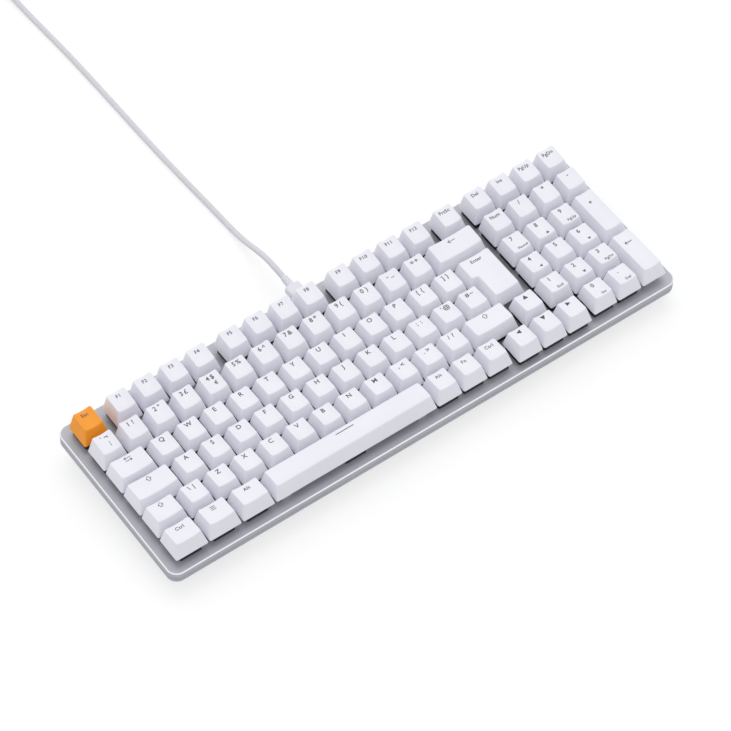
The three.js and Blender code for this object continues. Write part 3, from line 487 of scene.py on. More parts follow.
paint_tree = desk_paint.node_tree
matt = paint_tree.nodes.new("ShaderNodeBsdfDiffuse")
glow = paint_tree.nodes.new("ShaderNodeEmission")
seen = seen_directly(paint_tree)
for first, change, socket in ((0.86, -0.50, matt.inputs["Color"]), (0, 0.67, glow.inputs["Strength"])):
    share = paint_tree.nodes.new("ShaderNodeMath")
    share.operation = "MULTIPLY_ADD"
    share.inputs[1].default_value = change
    share.inputs[2].default_value = first
    paint_tree.links.new(seen, share.inputs[0])
    paint_tree.links.new(share.outputs["Value"], socket)
both = paint_tree.nodes.new("ShaderNodeAddShader")
paint_tree.links.new(matt.outputs["BSDF"], both.inputs[0])
paint_tree.links.new(glow.outputs["Emission"], both.inputs[1])
paint_out = paint_tree.nodes.new("ShaderNodeOutputMaterial")
paint_tree.links.new(both.outputs["Shader"], paint_out.inputs["Surface"])

world = bpy.data.worlds.new("surround")
bpy.context.scene.world = world
world.use_nodes = True
world_tree = world.node_tree
world_tree.nodes.clear()
bright = world_tree.nodes.new("ShaderNodeBackground")
bright.inputs["Color"].default_value = (1, 1, 1, 1)
bright.inputs["Strength"].default_value = 1
soft = world_tree.nodes.new("ShaderNodeBackground")
soft.inputs["Color"].default_value = (0.97, 0.98, 1, 1)
soft.inputs["Strength"].default_value = 0.76
choose = world_tree.nodes.new("ShaderNodeMixShader")
world_tree.links.new(seen_directly(world_tree), choose.inputs["Fac"])
world_tree.links.new(soft.outputs["Background"], choose.inputs[1])
world_tree.links.new(bright.outputs["Background"], choose.inputs[2])
world_out = world_tree.nodes.new("ShaderNodeOutputWorld")
world_tree.links.new(choose.outputs["Shader"], world_out.inputs["Surface"])

overhead_data = bpy.data.lights.new("overhead", "SUN")
overhead_data.energy = 0.85
overhead_data.angle = math.radians(50)
overhead = bpy.data.objects.new("overhead", overhead_data)
bpy.context.scene.collection.objects.link(overhead)
overhead.rotation_euler = (math.radians(-22), math.radians(14), 0)

view = bpy.context.scene.view_settings
view.view_transform = "Standard"

# ---- Top plate ----
# A sheet of satin-anodised aluminium with a turned-down edge; its chamfer carries a lighter, shinier metal
# as a painted highlight line. The switches and stabilisers snap into its square holes, and it screws down
# on the tray.
PLATE = 1.5
RIM_DEPTH, RIM_WALL, CHAMFER, CORNER = 4.8, 2, 0.7, 7
SKIRT, CAP_EDGE = 6, 0.43
anodised = finish_of("anodised_plate", (0.45, 0.455, 0.495), 0.52, 0.2)
vary_roughness(anodised, 2600, 0.46, 0.6)
vary_colour(anodised, 1500, (0.435, 0.44, 0.48), (0.465, 0.47, 0.51))
add_grain(anodised, 7000, 0.12, 0.00003)
# A lighter, shinier metal for the chamfer only: a painted highlight along the plate's edge.
chamfer_highlight_paint = finish_of("chamfer_highlight_paint_edge", (0.86, 0.86, 0.90), 0.25, 0.9)
vary_roughness(chamfer_highlight_paint, 1200, 0.2, 0.32)


def case_ring(inset, z, front_inset=None, back_inset=None):
    """The case's outline moved in, as a ring in the deck's plane."""
    front = inset if front_inset is None else front_inset
    rear = inset if back_inset is None else back_inset
    corners = box_corners(-OUTER_X + inset, OUTER_X - inset, -OUTER_FRONT + front, OUTER_BACK - rear)
    return at_height(outline(corners, max(CORNER - inset, 1), 12, 4), z)


def cell_of(node_name):
    """A key run's cell in the deck's plane, from the edges of its caps' skirts."""
    low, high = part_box(node_name)
    slip = DECK_Y + SKIRT * -math.sin(TILT)
    y0 = (low[1] / MM - slip) / math.cos(TILT) - CAP_EDGE
    y1 = (high[1] / MM - slip) / math.cos(TILT) + CAP_EDGE
    return [low[0] / MM - CAP_EDGE, high[0] / MM + CAP_EDGE, y0, y1]


# The name of each cap of a run, and what is printed on it: one or two marks side by side at its back, and
# on some caps a smaller second line.
KEYS = {
    "key_escape": [("escape", "Esc")],
    "keys_f1_to_f4": [(f"f{i}", f"F{i}") for i in range(1, 5)],
    "keys_f5_to_f8": [(f"f{i}", f"F{i}") for i in range(5, 9)],
    "keys_f9_to_f12": [(f"f{i}", f"F{i}") for i in range(9, 13)],
    "key_print_screen": [("print_screen", "PrtSc")],
    "keys_delete_to_page_down": [
        ("delete", "Del"), ("insert", "Ins"), ("page_up", "PgUp"), ("page_down", "PgDn"),
    ],
    "keys_backtick_to_5": [
        ("backtick", "` ¬", "¦"), ("1", "1 !"), ("2", '2 "'), ("3", "3 £"), ("4", "4 $", "€"), ("5", "5 %"),
    ],
    "keys_6_to_equals": [
        ("6", "6 ^"), ("7", "7 &"), ("8", "8 *"), ("9", "9 ("), ("0", "0 )"), ("minus", "- _"),
        ("equals", "= +"),
    ],
    "key_backspace": [("backspace", "<left>")],
    "keys_numpad_top": [
        ("num_lock", "Num"), ("divide", "/"), ("multiply", "*"), ("subtract", "-"),
    ],
    "key_tab": [("tab", "<tab>")],
    "keys_q_to_t": [(c.lower(), c) for c in "QWERT"],
    "keys_y_to_bracket": [
        *[(c.lower(), c) for c in "YUIOP"], ("bracket_left", "[ {"), ("bracket_right", "] }"),
    ],
    "key_enter": [("enter", "Enter")],
    "keys_numpad_7_to_9": [
        ("numpad_7", "7", "Home"), ("numpad_8", "8", "<up>"), ("numpad_9", "9", "PgUp"),
    ],
    "key_numpad_plus": [("numpad_plus", "+")],
    "key_caps_lock": [("caps_lock", "<shift>")],
    "keys_a_to_g": [(c.lower(), c) for c in "ASDFG"],
    "keys_h_to_hash": [
        *[(c.lower(), c) for c in "HJKL"], ("semicolon", "; :"), ("quote", "' @"), ("hash", "# ~"),
    ],
    "keys_numpad_4_to_6": [
        ("numpad_4", "4", "<back>"), ("numpad_5", "5"), ("numpad_6", "6", "<next>"),
    ],
    "key_shift_left": [("shift_left", "<shift>")],
    "keys_backslash_to_b": [("backslash", "\\ |"), *[(c.lower(), c) for c in "ZXCVB"]],
    "keys_n_to_slash": [
        ("n", "N"), ("m", "M"), ("comma", ", <"), ("point", ". >"), ("slash", "/ ?"),
    ],
    "key_shift_right": [("shift_right", "<shift>")],
    "key_arrow_up": [("arrow_up", "<up>")],
    "keys_numpad_1_to_3": [
        ("numpad_1", "1", "End"), ("numpad_2", "2", "<down>"), ("numpad_3", "3", "PgDn"),
    ],
    "key_numpad_enter": [("numpad_enter", "<left>")],
    "key_control_left": [("control_left", "Ctrl")],
    "key_system": [("system", "<menu>")],
    "key_alt_left": [("alt_left", "Alt")],
    "key_space": [("space", "<line>")],
    "keys_right_modifiers": [("alt_right", "Alt"), ("function", "Fn"), ("control_right", "Ctrl")],
    "key_arrow_left": [("arrow_left", "<back>")],
    "key_arrow_down": [("arrow_down", "<down>")],
    "key_arrow_right": [("arrow_right", "<next>")],
    "keys_numpad_0_and_point": [("numpad_0", "0", "Ins"), ("numpad_point", ".", "Del")],
}
ENTER_STEP = 0.25 * KEY_PITCH
keys = []
for run, prints in KEYS.items():
    x0, x1, y0, y1 = cell_of(run)
    step = ENTER_STEP if run == "key_enter" else 0
    x0 += step
    width = (x1 - x0) / len(prints)
    for i, words in enumerate(prints):
        keys.append({
            "run": run, "name": words[0], "main": words[1],
            "second": words[2] if len(words) > 2 else "", "step": step,
            "x0": x0 + i * width, "x1": x0 + (i + 1) * width, "y0": y0, "y1": y1,
            "row": round((FIELD_Y - y1) / KEY_PITCH), "tall": y1 - y0 > 1.5 * KEY_PITCH,
        })

STABILISED = {"space": 50, "backspace": 11.9, "enter": 11.9, "numpad_plus": 11.9, "numpad_enter": 11.9}


def middle_of(key):
    return (key["x0"] + key["x1"]) / 2, (key["y0"] + key["y1"]) / 2


def stem_places(key):
    """The two places where a long key's stabiliser holds it."""
    x, y = middle_of(key)
    span = STABILISED[key["name"]]
    if key["tall"]:
        return [(x, y + span), (x, y - span)]
    return [(x + span, y), (x - span, y)]


sheet = bpy.data.curves.new("plate_outline", "CURVE")
sheet.dimensions = "2D"
sheet.fill_mode = "BOTH"
sheet.extrude = PLATE / 2 * MM


def cut_line(points):
    line = sheet.splines.new("POLY")
    line.points.add(len(points) - 1)
    for knot, p in zip(line.points, points):
        knot.co = (p.x * MM, p.y * MM, 0, 1)
    line.use_cyclic_u = True


cut_line(case_ring(1.1, 0))
HOLE = 7.1
for key in keys:
    x, y = middle_of(key)
    cut_line(outline(box_corners(x - HOLE, x + HOLE, y - HOLE, y + HOLE), 0.4, 3, 1))
    if key["name"] in STABILISED:
        for sx, sy in stem_places(key):
            if key["tall"]:
                corners = box_corners(sx - 4.5, sx + 6.7, sy - 3.6, sy + 3.6)
            else:
                corners = box_corners(sx - 3.6, sx + 3.6, sy - 6.7, sy + 4.5)
            cut_line(outline(corners, 0.4, 3, 1))
cutter = bpy.data.objects.new("plate_outline", sheet)
flat = bpy.data.meshes.new_from_object(cutter)
vertices = [v.co - Vector((0, 0, PLATE / 2 * MM)) for v in flat.vertices]
faces = [tuple(p.vertices) for p in flat.polygons]
bpy.data.objects.remove(cutter)
bpy.data.curves.remove(sheet)
bpy.data.meshes.remove(flat)
edge_rings = [
    case_ring(1.1, -PLATE), case_ring(RIM_WALL, -PLATE), case_ring(RIM_WALL, -RIM_DEPTH + 0.15),
    case_ring(RIM_WALL - 0.15, -RIM_DEPTH), case_ring(0.2, -RIM_DEPTH), case_ring(0, -RIM_DEPTH + 0.2),
    case_ring(0, -CHAMFER - 0.15), case_ring(0.04, -CHAMFER), case_ring(0.12, -CHAMFER + 0.12),
    case_ring(CHAMFER - 0.12, -0.12), case_ring(CHAMFER, -0.03), case_ring(CHAMFER + 0.12, 0),
    case_ring(1.1, 0),
]
first_edge = len(faces)
loft_mesh(edge_rings, vertices, faces, ends=False)
plate = new_piece("plate", vertices, faces, anodised, 25)
plate.data.materials.append(chamfer_highlight_paint)
per_ring = len(edge_rings[0])
# The chamfer's faces take the lighter metal: a painted highlight line around the plate.
for polygon in plate.data.polygons[first_edge + 7 * per_ring:first_edge + 10 * per_ring]:
    polygon.material_index = 1
plate.matrix_world = DECK
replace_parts(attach(plate, "root"), "top_plate")

# ---- Tray ----
# The lower case is one moulding in grey ABS. It carries the plate's edge on its upright band, leans in
# below it to stand clear of the desk, and holds the board on posts.
tray_grey = finish_of("tray_plastic", (0.41, 0.415, 0.455), 0.5)
add_grain(tray_grey, 3500, 0.25, 0.00008)
vary_colour(tray_grey, 60, (0.40, 0.405, 0.445), (0.42, 0.425, 0.465))
PAD_HEIGHT, TRAY_FLOOR, TRAY_WALL = 2, 2.5, 2.5
UNDERCUT, BACK_UNDERCUT = 10, 4
BAND_DEPTH = 8.2
CHASSIS = Matrix.Translation((0, DECK_Y * MM, 0))


def tilted(ring):
    lean = Matrix.Rotation(TILT, 4, "X")
    return [lean @ p + Vector((0, 0, DECK_Z)) for p in ring]


def level_ring(inset, z):
    return case_ring(UNDERCUT + inset, z, UNDERCUT + inset, BACK_UNDERCUT + inset)


rim = -RIM_DEPTH - 0.3
vertices, faces = [], []
tray_rings = [
    level_ring(TRAY_WALL, PAD_HEIGHT + TRAY_FLOOR), tilted(case_ring(TRAY_WALL, -BAND_DEPTH)),
    tilted(case_ring(TRAY_WALL, rim)), tilted(case_ring(0.35, rim)), tilted(case_ring(0.1, rim - 0.1)),
    tilted(case_ring(0, rim - 0.3)), tilted(case_ring(0, -BAND_DEPTH + 0.3)),
    tilted(case_ring(0.12, -BAND_DEPTH)), level_ring(-0.4, PAD_HEIGHT + 0.5),
    level_ring(0.1, PAD_HEIGHT + 0.05), level_ring(0.6, PAD_HEIGHT),
]
loft_mesh(tray_rings, vertices, faces)
faces = [tuple(reversed(face)) for face in faces]
tray = new_piece("tray", vertices, faces, tray_grey, 40)


def block_object(name, x0, x1, y0, y1, z0, z1, corner=0.5):
    block_vertices, block_faces = [], []
    ring = outline(box_corners(x0, x1, y0, y1), corner, 4, 1)
    loft_mesh([at_height(ring, z0), at_height(ring, z1)], block_vertices, block_faces)
    return new_piece(name, block_vertices, block_faces, tray_grey)


def apply_cut(piece, tools, operation="DIFFERENCE"):
    """Cuts or joins plain blocks, then removes them."""
    for tool in tools:
        step_cut = piece.modifiers.new("cut", "BOOLEAN")
        step_cut.operation = operation
        step_cut.solver = "EXACT"
        step_cut.object = tool
    graph = bpy.context.evaluated_depsgraph_get()
    made = bpy.data.meshes.new_from_object(piece.evaluated_get(graph))
    piece.modifiers.clear()
    piece.data = made
    made.shade_smooth()
    made.set_sharp_from_angle(angle=math.radians(40))
    for tool in tools:
        bpy.data.objects.remove(tool)


FOOT_WIDTH, FOOT_LENGTH, FOOT_THICKNESS = 32, 25, 4.6
FOOT_X = 112
FOOT_Y = OUTER_BACK - BACK_UNDERCUT - 12
FOOT_Z = PAD_HEIGHT + 0.4 + FOOT_THICKNESS / 2
STRIPS = [
    ("front_strip", "rubber_strip_front", 150, -OUTER_FRONT + UNDERCUT + 5),
    ("rear_strip", "rubber_strip_rear", 80, OUTER_BACK - BACK_UNDERCUT - 14),
]
walls = []
pockets = []
for x in (-FOOT_X, FOOT_X):
    half = FOOT_WIDTH / 2 + 0.5
    front, rear = FOOT_Y - FOOT_LENGTH - 0.8, FOOT_Y + 3.1
    walls.append(block_object("wall", x - half - 3.5, x + half + 3.5, front - 3.5, rear + 3.5, 2.6, 10.5))
    pockets.append(block_object("pocket", x - half, x + half, front, rear, 0, 8))
    axle = block_object("axle", x - 18.6, x + 18.6, FOOT_Y - 1.8, FOOT_Y + 1.8, FOOT_Z - 1.8, FOOT_Z + 1.8)
    pockets.append(axle)
for name, cad_name, half, y in STRIPS:
    pockets.append(block_object("recess", -half - 0.3, half + 0.3, y - 0.3, y + 9.3, 0, 2.6, 1))
slot_vertices, slot_faces = [], []
soft_block(-4.7, 4.7, -1.9, 1.9, -7, 3, 1.8, 0.1, slot_vertices, slot_faces)
slot_tool = new_piece("slot", slot_vertices, slot_faces, tray_grey)
slot_tool.matrix_world = (Matrix.Translation((0, 0, DECK_Z * MM)) @ Matrix.Rotation(TILT, 4, "X")
                          @ lying(SOCKET_X, OUTER_BACK, SOCKET_Z))
pockets.append(slot_tool)
apply_cut(tray, walls, "UNION")
apply_cut(tray, pockets)
tray.matrix_world = CHASSIS
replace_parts(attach(tray, "root"), "bottom_case")

# ---- Board and socket ----
# The circuit board carries the switches' contacts and the socket. Both are closed in by the case.
board_green = finish_of("board", (0.012, 0.014, 0.02), 0.35)
vary_colour(board_green, 500, (0.010, 0.012, 0.018), (0.022, 0.025, 0.035))
add_grain(board_green, 3000, 0.2, 0.00005)
for node_name, material, slot_name in (
    ("circuit_board", board_green, "board"), ("usb_socket", steel, "socket_steel"),
):
    carried = frame["nodes"][node_name]
    carried.data.materials.clear()
    carried.data.materials.append(material)
    soften = carried.modifiers.new("edges", "BEVEL")
    soften.width = 0.15 * MM
    soften.segments = 2
    soften.limit_method = "ANGLE"

# ---- Rubber strips ----
# Two long strips of soft rubber in shallow recesses keep the keyboard from sliding.
rubber = finish_of("rubber", (0.045, 0.045, 0.05), 0.85)
add_grain(rubber, 2200, 0.5, 0.0001)
vary_roughness(rubber, 300, 0.75, 0.95)
for name, cad_name, half, y in STRIPS:
    vertices, faces = [], []
    soft_block(-half, half, y, y + 9, 0, 2.3, 2.5, 0.4, vertices, faces)
    strip = new_piece(name, vertices, faces, rubber)
    strip.matrix_world = CHASSIS
    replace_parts(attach(strip, "root"), cad_name)

# ---- Flip-out feet ----
# Each foot is a moulded leg on a pin across its pocket. It folds flat, or stands up on a rubber tip.
for side, x in (("left", -FOOT_X), ("right", FOOT_X)):
    half = FOOT_THICKNESS / 2
    profile = [Vector((math.cos(math.radians(a)) * half, math.sin(math.radians(a)) * half))
               for a in range(-90, 91, 12)]
    profile += [Vector((-FOOT_LENGTH + 0.6, half * 0.7)), Vector((-FOOT_LENGTH, half * 0.7 - 0.6)),
                Vector((-FOOT_LENGTH, -half + 0.6)), Vector((-FOOT_LENGTH + 0.6, -half))]
    vertices, faces = [], []
    widths = [(-FOOT_WIDTH / 2, 0.5), (-FOOT_WIDTH / 2 + 0.4, 0.12), (-FOOT_WIDTH / 2 + 0.8, 0),
              (FOOT_WIDTH / 2 - 0.8, 0), (FOOT_WIDTH / 2 - 0.4, 0.12), (FOOT_WIDTH / 2, 0.5)]
    centre = Vector((-FOOT_LENGTH / 2, 0))
    rings = []
    for wx, inset in widths:
        ring = shrink(profile, inset, centre)
        rings.append([Vector((x + wx, FOOT_Y + p.x, FOOT_Z + p.y)) for p in ring])
    loft_mesh(rings, vertices, faces)
    pin = [[Vector((x + px, FOOT_Y + r * math.cos(a), FOOT_Z + r * math.sin(a))) for a in
            [2 * math.pi * k / 20 for k in range(20)]]
           for px, r in ((-18, 1.2), (-17.7, 1.5), (17.7, 1.5), (18, 1.2))]
    loft_mesh(pin, vertices, faces)
    for i in range(4):
        rib = x - 10.5 + 7 * i
        soft_block(rib - 0.5, rib + 0.5, FOOT_Y - 18, FOOT_Y - 4, FOOT_Z - half - 0.35,
                   FOOT_Z - half + 0.5, 0.4, 0.15, vertices, faces)
    foot = new_piece(f"foot_{side}", vertices, faces, tray_grey)
    foot.matrix_world = CHASSIS
    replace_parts(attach(foot, f"flip_foot_{side}"), f"flip_foot_{side}")
    vertices, faces = [], []
    soft_block(x - 13, x + 13, FOOT_Y - FOOT_LENGTH + 0.8, FOOT_Y - FOOT_LENGTH + 5.5,
               FOOT_Z - half - 0.4, FOOT_Z - half + 0.3, 1, 0.15, vertices, faces)
    tip = new_piece(f"foot_tip_{side}", vertices, faces, rubber)
    tip.matrix_world = CHASSIS
    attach(tip, f"flip_foot_{side}")

# ---- Stabilisers ----
# A long key stands on two slotted housings, tied by a bent steel wire so that both ends go down together.
milky = finish_of("stabiliser_plastic", (0.66, 0.66, 0.69), 0.4)
add_grain(milky, 3000, 0.2, 0.00005)
vary_roughness(milky, 500, 0.35, 0.5)
for key in keys:
    if key["name"] not in STABILISED:
        continue
    vertices, faces = [], []
    for sx, sy in stem_places(key):
        if key["tall"]:
            blocks = [(sx - 4.2, sx - 1.9, sy - 3.3, sy + 3.3), (sx + 1.9, sx + 6.4, sy - 3.3, sy + 3.3),
                      (sx - 2, sx + 2, sy - 3.3, sy - 1.9), (sx - 2, sx + 2, sy + 1.9, sy + 3.3)]
        else:
            blocks = [(sx - 3.3, sx + 3.3, sy + 1.9, sy + 4.2), (sx - 3.3, sx + 3.3, sy - 6.4, sy - 1.9),
                      (sx - 3.3, sx - 1.9, sy - 2, sy + 2), (sx + 1.9, sx + 3.3, sy - 2, sy + 2)]
        for bx0, bx1, by0, by1 in blocks:
            soft_block(bx0, bx1, by0, by1, -4.6, 4.2, 0.3, 0.25, vertices, faces)
    housings = new_piece(f"stabiliser_housings_{key['name']}", vertices, faces, milky)
    (ax, ay), (bx, by) = stem_places(key)
    if key["tall"]:
        bend = [(ax + 2, ay, -2.8), (ax + 7.6, ay, -2.8), (ax + 7.6, by, -2.8), (ax + 2, by, -2.8)]
    else:
        bend = [(ax, ay - 2, -2.8), (ax, ay - 7.6, -2.8), (bx, ay - 7.6, -2.8), (bx, ay - 2, -2.8)]
    corners = [Vector(p) for p in bend]
    wire_line = [corners[0] * MM]
    for i in (1, 2):
        start = corners[i] + (corners[i - 1] - corners[i]).normalized() * 1.6
        end = corners[i] + (corners[i + 1] - corners[i]).normalized() * 1.6
        wire_line += [start.lerp(corners[i], t).lerp(corners[i].lerp(end, t), t) * MM
                      for t in (0, 0.25, 0.5, 0.75, 1)]
    wire_line.append(corners[3] * MM)
    wire = tube(f"stabiliser_wire_{key['name']}", wire_line, 0.75 * MM, 12, steel)
    for piece, slot_name in ((housings, "stabiliser_plastic"), (wire, "socket_steel")):
        piece.matrix_world = DECK
        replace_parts(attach(piece, "root"), f"stabiliser_{key['name']}")

# ---- Switches ----
# Each key has a mechanical switch snapped into the plate: a dark nylon body with a flange, a tapered
# top housing, and a slider that stands in its well and carries the cap.
nylon = finish_of("switch_plastic", (0.022, 0.022, 0.026), 0.42)
add_grain(nylon, 3500, 0.25, 0.00006)
vary_roughness(nylon, 700, 0.35, 0.5)
slider_nylon = finish_of("slider_plastic", (0.30, 0.30, 0.33), 0.4)
add_grain(slider_nylon, 3500, 0.2, 0.00005)


def square_ring(x, y, width, depth, z, corner):
    half_w, half_d = width / 2, depth / 2
    return at_height(outline(box_corners(x - half_w, x + half_w, y - half_d, y + half_d), corner, 4, 2), z)


def switch_body(x, y, vertices, faces):
    sections = [
        (7, 5.8, -3.6, 0.6), (7, 5.8, 5.7, 0.6), (7.4, 6.2, 6, 0.6), (10.6, 10.6, 6, 1), (11, 11, 5.8, 1),
        (13.4, 13.6, 2.2, 1.2), (13.9, 14.1, 1.35, 1), (14.7, 14.7, 1.3, 0.8), (15, 15, 1.1, 0.8),
        (15, 15, 0.4, 0.8), (14.8, 14.8, 0.3, 0.8), (13.6, 13.6, 0.3, 0.5), (13.6, 13.6, -4.2, 0.5),
        (13, 13, -4.7, 0.5),
    ]
    start = len(faces)
    loft_mesh([square_ring(x, y, w, d, z, c) for w, d, z, c in sections], vertices, faces)
    faces[start:] = [tuple(reversed(face)) for face in faces[start:]]


for row in range(6):
    vertices, faces = [], []
    for key in keys:
        if key["row"] == row:
            x, y = middle_of(key)
            switch_body(x, y, vertices, faces)
    bodies = new_piece(f"switches_row_{row + 1}", vertices, faces, nylon)
    bodies.matrix_world = DECK
    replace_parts(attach(bodies, "root"), f"switch_row_{row + 1}")

# ---- Keycaps ----
# Thick moulded caps with a matt, fine-grained surface. Each row has its own height and slope; the top is
# a shallow trough, and the space bar's top is a low crown. The print is dyed into the plastic.
SIDE_SLOPE = 2.85
CAP_WALL, CAP_ROOF = 1.5, 1.6
TALL_ROW = (3.9, 11.2, 1.35, 12.1)
UPPER_ROW = (3.6, 10.05, 1.3, 9.35)
HOME_ROW = (4.2, 10, 0.75, 8.8)
LOWER_ROW = (4, 11.2, 1.35, 9.7)
ROWS = [TALL_ROW, TALL_ROW, UPPER_ROW, HOME_ROW, LOWER_ROW, LOWER_ROW]
TROUGH, CROWN = 1.1, 0.7
CREST_ROUNDING = 0.6

cap_white = finish_of("cap_white", (0.86, 0.85, 0.91), 0.48)
vary_colour(cap_white, 40, (0.85, 0.84, 0.905), (0.87, 0.862, 0.92))
add_grain(cap_white, 5200, 0.18, 0.00005)
cap_orange = finish_of("cap_orange", (0.95, 0.33, 0.006), 0.5)
vary_colour(cap_orange, 40, (0.94, 0.32, 0.005), (0.96, 0.34, 0.008))
add_grain(cap_orange, 5200, 0.18, 0.00005)
print_ink = finish_of("cap_print", (0.06, 0.06, 0.075), 0.55)
add_grain(print_ink, 5200, 0.15, 0.00004)


def top_of(key):
    """The key's top face: its sides, its heights, and the height at any point on it."""
    upper = ROWS[key["row"]]
    lower = ROWS[key["row"] + 1] if key["tall"] else upper
    left = key["x0"] - key["step"] + CAP_EDGE + SIDE_SLOPE
    right = key["x1"] - CAP_EDGE - SIDE_SLOPE
    front, rear = key["y0"] + lower[0], key["y1"] - upper[2]
    front_z, rear_z = SKIRT + lower[1], SKIRT + upper[3]
    middle_x, half_x = (left + right) / 2, (right - left) / 2
    middle_y, half_y = (front + rear) / 2, (rear - front) / 2

    def height(x, y):
        slope = front_z + (rear_z - front_z) * (y - front) / (rear - front)
        if key["name"] == "space":
            return slope - CROWN * ((y - middle_y) / half_y) ** 2
        return slope - TROUGH * max(0, 1 - ((x - middle_x) / half_x) ** 2)

    return left, right, front, rear, min(front_z, rear_z) - CAP_ROOF, height


def cap_corners(key, side, front, rear):
    """The corners of the cap's outline at a level, six of them on the stepped Enter key."""
    x0, x1 = key["x0"] + side, key["x1"] - side
    y0, y1 = key["y0"] + front, key["y1"] - rear
    if not key["step"]:
        return box_corners(x0, x1, y0, y1)
    step_x, step_y = x0 - key["step"], key["y1"] - KEY_PITCH + side
    return [(x0, y0), (x1, y0), (x1, y1), (step_x, y1), (step_x, step_y), (x0, step_y)]


def cap_shape(key, vertices, faces):
    left, right, front, rear, ceiling, height = top_of(key)
    upper = ROWS[key["row"]]
    lower = ROWS[key["row"] + 1] if key["tall"] else upper
    side = CAP_EDGE + SIDE_SLOPE
    foot = outline(cap_corners(key, CAP_EDGE, CAP_EDGE, CAP_EDGE), 1.2, 5, 6)
    crest = outline(cap_corners(key, side, lower[0], upper[2]), 1.4, 5, 6)
    shelf_corners = cap_corners(
        key, side + CREST_ROUNDING, lower[0] + CREST_ROUNDING, upper[2] + CREST_ROUNDING,
    )
    shelf = outline(shelf_corners, 1.1, 5, 6)
    cave_low = outline(cap_corners(key, CAP_EDGE + CAP_WALL, CAP_EDGE + CAP_WALL, CAP_EDGE + CAP_WALL),
                       0.8, 5, 6)
    cave_high = outline(cap_corners(key, side + CAP_WALL, lower[0] + CAP_WALL, upper[2] + CAP_WALL),
                        0.8, 5, 6)
    crest3 = [Vector((p.x, p.y, height(p.x, p.y))) for p in crest]
    shelf3 = [Vector((p.x, p.y, height(p.x, p.y))) for p in shelf]
    foot3 = at_height(foot, SKIRT)
    rings = [at_height(cave_high, ceiling), at_height(cave_low, SKIRT)]
    rings.append([a.lerp(b, 0.25 / 1.5) for a, b in zip(foot3, at_height(cave_low, SKIRT))])
    rings.append([a.lerp(b, 0.02) for a, b in zip(foot3, crest3)])
    for share in (0.3, 0.6):
        rings.append([a.lerp(b, share) for a, b in zip(foot3, crest3)])
    bend_from = [b + (a - b).normalized() * CREST_ROUNDING for a, b in zip(foot3, crest3)]
    for t in (0, 0.25, 0.5, 0.75, 1):
        rings.append([a.lerp(b, t).lerp(b.lerp(c, t), t) for a, b, c in zip(bend_from, crest3, shelf3)])
    hub_x, hub_y = (key["x0"] + key["x1"]) / 2, (front + rear) / 2
    if key["step"]:
        hub_y = key["y1"] - KEY_PITCH / 2
    for share in (0.8, 0.6, 0.4, 0.2, 0.06):
        ring = []
        for p in shelf:
            x, y = hub_x + (p.x - hub_x) * share, hub_y + (p.y - hub_y) * share
            ring.append(Vector((x, y, height(x, y))))
        rings.append(ring)
    loft_mesh(rings, vertices, faces)


def glyphs(text):
    """The outline of a word as a thin solid, standing on its baseline and starting at x = 0."""
    if text not in glyphs.made:
        words = bpy.data.curves.new("print", "FONT")
        words.body = text
        words.size = 1
        words.resolution_u = 3
        words.extrude = 0.5
        words.offset = 0.012
        words.space_character = 1.08
        holder = bpy.data.objects.new("print", words)
        mesh = bpy.data.meshes.new_from_object(holder)
        points = [v.co.copy() for v in mesh.vertices]
        low = min(p.x for p in points)
        points = [Vector((p.x - low, p.y, p.z)) for p in points]
        glyphs.made[text] = (points, [tuple(p.vertices) for p in mesh.polygons])
        bpy.data.objects.remove(holder)
        bpy.data.meshes.remove(mesh)
        bpy.data.curves.remove(words)
    return glyphs.made[text]


glyphs.made = {}


def strokes(lines, weight):
    """Thin bars along straight lines, as a small drawn mark."""
    points, polygons = [], []
    for ax, ay, bx, by in lines:
        a, b = Vector((ax, ay)), Vector((bx, by))
        along = (b - a).normalized() * weight / 2
        out = Vector((-along.y, along.x))
        corners = [a - along - out, b + along - out, b + along + out, a - along + out]
        start = len(points)
        points += [Vector((c.x, c.y, -0.5)) for c in corners]
        points += [Vector((c.x, c.y, 0.5)) for c in corners]
        polygons.append((start + 3, start + 2, start + 1, start))
        polygons.append((start + 4, start + 5, start + 6, start + 7))
        for i in range(4):
            after = (i + 1) % 4
            polygons.append((start + i, start + after, start + 4 + after, start + 4 + i))
    return points, polygons


def wedge(corners):
    points = [Vector((x, y, z)) for z in (-0.5, 0.5) for x, y in corners]
    return points, [(2, 1, 0), (3, 4, 5), (0, 1, 4, 3), (1, 2, 5, 4), (2, 0, 3, 5)]


MARKS = {
    "<left>": strokes([(0, 0.4, 1.5, 0.4), (0, 0.4, 0.4, 0.75), (0, 0.4, 0.4, 0.05)], 0.1),
    "<tab>": strokes([
        (0, 0.7, 1.3, 0.7), (0, 0.7, 0.3, 0.95), (0, 0.7, 0.3, 0.45), (0, 0.1, 1.3, 0.1),
        (1.3, 0.1, 1, 0.35), (1.3, 0.1, 1, -0.15),
    ], 0.09),
    "<shift>": strokes([
        (0, 0.45, 0.5, 1), (0.5, 1, 1, 0.45), (1, 0.45, 0.72, 0.45), (0.72, 0.45, 0.72, 0),
        (0.72, 0, 0.28, 0), (0.28, 0, 0.28, 0.45), (0.28, 0.45, 0, 0.45),
    ], 0.09),
    "<menu>": strokes([(0, 0, 0.9, 0), (0, 0.35, 0.9, 0.35), (0, 0.7, 0.9, 0.7)], 0.1),
    "<line>": strokes([(0, 0, 3.65, 0)], 0.16),
    "<up>": wedge([(0, 0), (0.8, 0), (0.4, 0.7)]),
    "<down>": wedge([(0.4, 0), (0.8, 0.7), (0, 0.7)]),
    "<back>": wedge([(0, 0.35), (0.7, 0), (0.7, 0.7)]),
    "<next>": wedge([(0, 0), (0.7, 0.35), (0, 0.7)]),
}
INK_PROUD, INK_DEEP = 0.08, 0.12
BASELINE = 4.7
LARGE_PRINT, WORD_PRINT = 4.4, 3.4
PAIR_GAP = 1.6


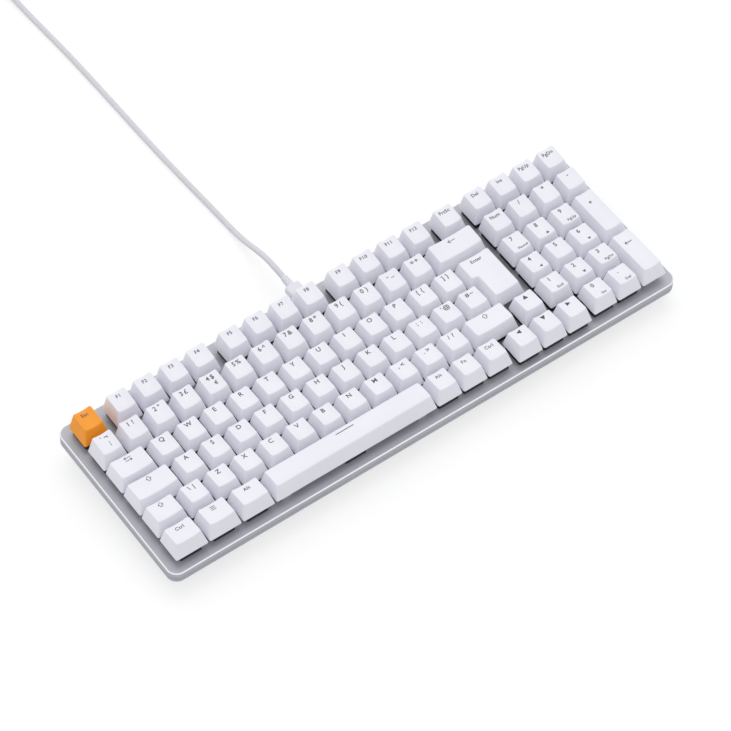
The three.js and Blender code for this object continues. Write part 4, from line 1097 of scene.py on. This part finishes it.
def put_print(text, size, middle_x, base_y, height, vertices, faces):
    """Lays a printed mark on a cap's top, following its curve."""
    points, polygons = MARKS[text] if text in MARKS else glyphs(text)
    width = max(p.x for p in points) * size
    start = len(vertices)
    for p in points:
        x, y = middle_x - width / 2 + p.x * size, base_y + p.y * size
        z = height(x, y) + (INK_PROUD if p.z > 0 else -INK_DEEP)
        vertices.append(Vector((x, y, z)) * MM)
    faces += [tuple(start + i for i in polygon) for polygon in polygons]


for key in keys:
    vertices, faces = [], []
    cap_shape(key, vertices, faces)
    left, right, front, rear, ceiling, height = top_of(key)
    shell_faces = len(faces)
    main, second = key["main"], key["second"]
    middle_x = (left + right) / 2
    large = len(main) == 1 or " " in main or key["name"].startswith("arrow")
    size = LARGE_PRINT if large else WORD_PRINT
    base_y = rear - BASELINE
    if key["name"] == "space":
        base_y = rear - 3.2
    elif key["tall"] and not key["step"]:
        base_y = rear - 10
    if " " in main:
        first, other = main.split(" ")
        put_print(first, size, middle_x - PAIR_GAP, base_y, height, vertices, faces)
        put_print(other, size, middle_x + PAIR_GAP, base_y, height, vertices, faces)
        if second:
            put_print(second, WORD_PRINT, middle_x + PAIR_GAP, base_y - 4.4, height, vertices, faces)
    else:
        shift = 1 if second else 0
        put_print(main, size, middle_x - shift, base_y, height, vertices, faces)
        if second:
            put_print(second, 2.7, middle_x + 1.7 * shift, front + 1.5, height, vertices, faces)
    body, body_slot = cap_white, "cap_white"
    if key["name"] == "escape":
        body, body_slot = cap_orange, "cap_orange"
    cap = new_piece(f"cap_{key['name']}", vertices, faces, body)
    cap.data.materials.append(print_ink)
    for polygon in cap.data.polygons[shell_faces:]:
        polygon.material_index = 1
    cap.matrix_world = DECK
    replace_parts(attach(cap, key["run"]), key["run"])

# ---- Sliders ----
# Under each cap a slider goes down into the switch, with a cross-shaped post pressed into the cap; the
# long keys have two plain stems more, for their stabiliser.
for run in KEYS:
    vertices, faces = [], []
    for key in keys:
        if key["run"] != run:
            continue
        x, y = middle_of(key)
        ceiling = top_of(key)[4]
        soft_block(x - 3.2, x + 3.2, y - 2.6, y + 2.6, 1.35, 6.8, 0.5, 0.2, vertices, faces)
        soft_block(x - 2, x + 2, y - 0.6, y + 0.6, 6.7, ceiling + 0.4, 0.2, 0.1, vertices, faces)
        soft_block(x - 0.6, x + 0.6, y - 2, y + 2, 6.7, ceiling + 0.4, 0.2, 0.1, vertices, faces)
        if key["name"] in STABILISED:
            for sx, sy in stem_places(key):
                soft_block(sx - 1.6, sx + 1.6, sy - 1.6, sy + 1.6, 2.05, ceiling + 0.4, 0.4, 0.15,
                           vertices, faces)
    sliders = new_piece(f"sliders_{run}", vertices, faces, slider_nylon)
    sliders.matrix_world = DECK
    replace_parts(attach(sliders, run), run)
